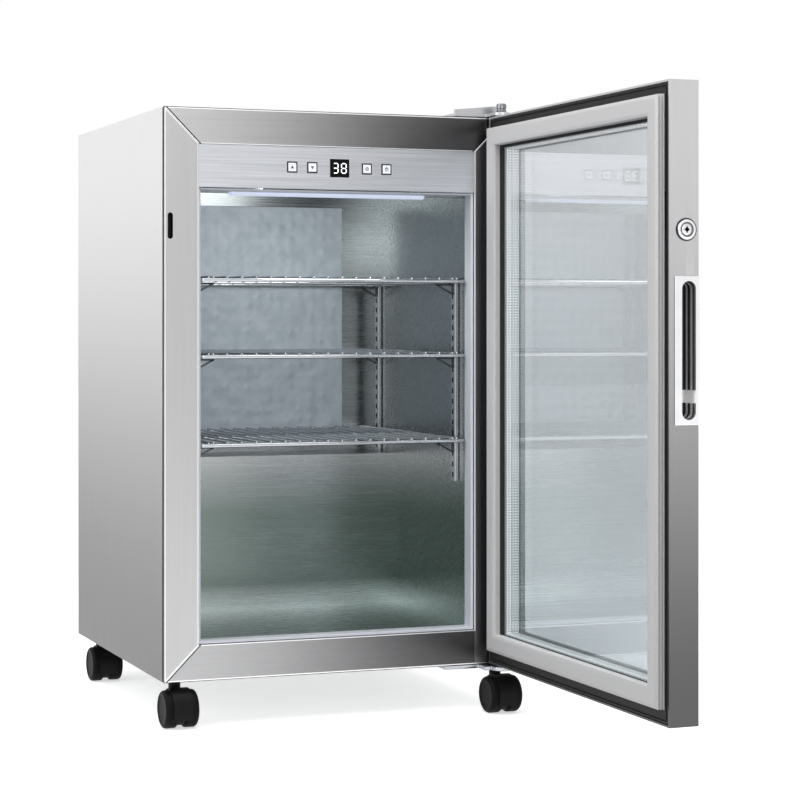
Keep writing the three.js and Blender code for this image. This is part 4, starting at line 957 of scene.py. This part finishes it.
def chrome_with_painted_reflections(name, centre, reach, tones, metal=1.0, gleam=(0, -1)):
    """Chrome whose tone, a painted reflection, runs through a ramp of (place, colour) with the
    distance from a centre.

    Reach is the distance at the ramp's end along X, Y and Z; an axis with no reach does not count.
    Gleam is the height and half width of a painted highlight band across it.
    """
    made, tree, shader = new_material(name, Metallic=metal, Roughness=0.14)
    scale = [1 / length if length else 0 for length in reach]
    place = add_node(tree, "TexCoord").outputs["Object"]
    offset = add_node(tree, "VectorMath", {0: place, 1: centre}, operation="SUBTRACT")
    share = add_node(tree, "VectorMath", {0: offset, 1: scale}, operation="MULTIPLY")
    far = add_node(tree, "VectorMath", {0: share}, operation="LENGTH")
    ramp = add_node(tree, "ValToRGB", {0: far.outputs["Value"]})
    set_tones(ramp, tones)
    height = add_node(tree, "SeparateXYZ", {0: place})
    band = add_node(tree, "Math", {0: height.outputs["Z"], 1: gleam[0], 2: gleam[1]},
                    operation="COMPARE")
    tone = add_node(tree, "Mix", {
        "Factor": band, "A": ramp, "B": linear("#ffffff")}, data_type="RGBA")
    tree.links.new(tone.outputs["Result"], shader.inputs["Base Color"])
    return made


# The finger cup's chrome carries painted reflections: dark and bright bands across its depth and a
# painted highlight near its foot.
mouth, floor_y = low.y + 0.0008, high.y - 0.0017
cup_chrome = chrome_with_painted_reflections(
    "chrome_finger_cup_painted_reflections", Vector((0, mouth, 0)), (0, floor_y - mouth, 0),
    [(0.0, "#6b6c70"), (0.16, "#2c2d2f"), (0.30, "#ffffff"), (0.44, "#242527"), (0.56, "#242527"),
     (0.70, "#f4f5f6"), (0.84, "#2c2d30"), (1.0, "#4a4b4e")],
    metal=0.2, gleam=(cup_centre.z - 0.050, 0.007))
bm = bmesh.new()
loops = []
for grow, y in ((0.0022, mouth + 0.0006), (0.0012, mouth), (0.0, mouth + 0.0008),
                (-0.0010, mouth + 0.006), (-0.0016, floor_y - 0.004), (-0.0040, floor_y - 0.0006),
                (-0.0075, floor_y)):
    loops.append(obround(bm, cup_centre, cup_wide + grow, cup_tall + grow, y))
for first, second in zip(loops, loops[1:]):
    bmesh.ops.bridge_loops(bm, edges=first + second)
bmesh.ops.contextual_create(bm, geom=loops[-1])
bmesh.ops.recalc_face_normals(bm, faces=bm.faces)
bmesh.ops.reverse_faces(bm, faces=bm.faces)
cup = add_piece("handle_cup", bm, cup_chrome, "door", "chrome")
wall = cup.modifiers.new("wall", "SOLIDIFY")
wall.thickness, wall.offset = 0.0008, -1


# ---- Lock ----
# A chrome barrel with a bezel, a plug with its keyway, and a stamped zinc-plated cam.
centre, low, high = middle_and_box("lock_barrel")
bm = bmesh.new()
bezel, bore, body_r = (high.x - low.x) / 2, 0.0063, 0.0095
y0, y1 = low.y, high.y
section = [(bore, y1), (bore, y0 + 0.0006), (bore + 0.0008, y0 + 0.0001),
           (bezel - 0.0042, y0 - 0.0004), (bezel - 0.003, y0 + 0.0001),
           (bezel - 0.0012, y0 + 0.0003), (bezel, y0 + 0.0012), (bezel, y0 + 0.0016),
           (body_r, y0 + 0.0016), (body_r, y1), (bore, y1)]
turned(bm, section, (centre.x, 0, centre.z), "Y", 64)
# The lock's chrome carries painted reflections: dark and bright rings round its axis on barrel and
# plug.
ringed_chrome = chrome_with_painted_reflections(
    "chrome_lock_painted_reflections", centre, (bezel, 0, bezel),
    [(0.0, "#e4e5e7"), (0.50, "#e4e5e7"), (0.54, "#3a3b3d"), (0.62, "#4a4b4d"), (0.66, "#e8e9eb"),
     (0.84, "#f2f3f5"), (0.89, "#434446"), (1.0, "#232425")])
add_piece("lock_barrel_turned", bm, ringed_chrome, "door", "chrome", "lock_barrel")
centre, low, high = middle_and_box("lock_plug")
plug_r = (high.x - low.x) / 2
bm = bmesh.new()
turned(bm, [(0, low.y), (plug_r - 0.0008, low.y), (plug_r, low.y + 0.0006), (plug_r, high.y),
            (0, high.y)], (centre.x, 0, centre.z), "Y", 48)
add_piece("lock_plug_turned", bm, ringed_chrome, "lock_core", "chrome", "lock_plug")
# The keyway is a dark inset of painted shade standing for its hollow.
bm = bmesh.new()
box_between(bm, (centre.x - 0.0006, low.y - 0.0001, centre.z - 0.0038),
            (centre.x + 0.0006, low.y + 0.0004, centre.z + 0.0038))
turned(bm, [(0, low.y - 0.0001), (0.0032, low.y - 0.0001), (0.0032, low.y + 0.0004),
            (0, low.y + 0.0004)], (centre.x, 0, centre.z), "Y", 4)
add_piece("lock_keyway", bm, dark_slot, "lock_core", "chrome")
zinc = spangled_steel("zinc_plated_cam", "#b4b6b2", 4)
rounded_piece("lock_cam", zinc, "lock_core", "zinc_steel", 0.4)


# ---- Machine bay: compressor, condenser, grille, inlet ----
# A black-painted welded pot on a footed plate, a bent steel tube, a powder-coated louvred cover and
# a three-pin inlet.
black_paint = moulded("black_stoved_enamel", "#121213", 0.32, 1.5, 0.03, Coat_Weight=0.2)
powder = moulded("black_powder_coat", "#1b1b1c", 0.55, 0.9, 0.05)
rounded_piece("compressor", black_paint, "cabinet", "black_paint", 0.8)
bm = bmesh.new()
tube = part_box("condenser_coil")
radius = (tube[1].y - tube[0].y) / 2
RUN_PITCH, BEND = 0.022, 0.0105
runs = []
for run in range(8):
    z = tube[0].z + radius + run * RUN_PITCH
    ends = [tube[0].x, tube[1].x]
    runs += [(x, tube[0].y + radius, z) for x in (ends if run % 2 == 0 else reversed(ends))]
bend_rod(bm, rounded_path(runs, BEND, closed=False), radius * 2, 16)
add_piece("condenser_tube", bm, black_paint, "cabinet", "black_paint", "condenser_coil")
rounded_piece("rear_grille", powder, "cabinet", "black_paint", 0.5)
rounded_piece("power_inlet", black_abs, "cabinet", "black_plastic", 0.5)


# ---- Casters ----
# Twin-wheel furniture casters: a black nylon body whose hood covers the inner halves of the two
# wheels, and polypropylene wheels with a rounded tread and a shallow dished face.
nylon = moulded("black_nylon_body", "#080809", 0.5, 1.0, Specular_IOR_Level=0.16)
tread = moulded("black_polypropylene_wheel", "#09090a", 0.55, 1.2, Specular_IOR_Level=0.12)
WHEEL_WIDE, TREAD_ROUND = 0.016, 0.0045
for corner in ("front_left", "front_right", "rear_left", "rear_right"):
    node = "caster_" + corner
    bm = merged_copy(node)
    bevel_edges(bm, 0.5, 2, 2)
    add_piece(node + "_body", bm, nylon, node, "black_plastic", node, smooth=45)
    centre, low, high = middle_and_box("wheels_" + corner)
    radius = (high.z - low.z) / 2
    half = (high.x - low.x) / 2
    bm = bmesh.new()
    for way in (-1, 1):
        inner, outer = way * (half - WHEEL_WIDE), way * half
        section = [(0, inner), (radius - 0.0015, inner), (radius - 0.0004, inner + way * 0.0006),
                   (radius, inner + way * 0.002)]
        for k in range(9):
            angle = math.radians(90 * k / 8)
            section.append((radius - TREAD_ROUND * (1 - math.cos(angle)),
                            outer - way * TREAD_ROUND * (1 - math.sin(angle))))
        section += [(radius - 0.0062, outer - way * 0.0003), (radius - 0.0068, outer - way * 0.0009),
                    (radius * 0.4, outer - way * 0.0012), (0, outer - way * 0.0013)]
        turned(bm, section, (centre.x, centre.y, centre.z), "X", 64)
    stub = half - WHEEL_WIDE + 0.001
    turned(bm, [(0, -stub), (0.003, -stub), (0.003, stub), (0, stub)],
           (centre.x, centre.y, centre.z), "X", 24)
    add_piece("wheels_" + corner + "_turned", bm, tread, "wheels_" + corner, "tread_rubber",
              "wheels_" + corner)
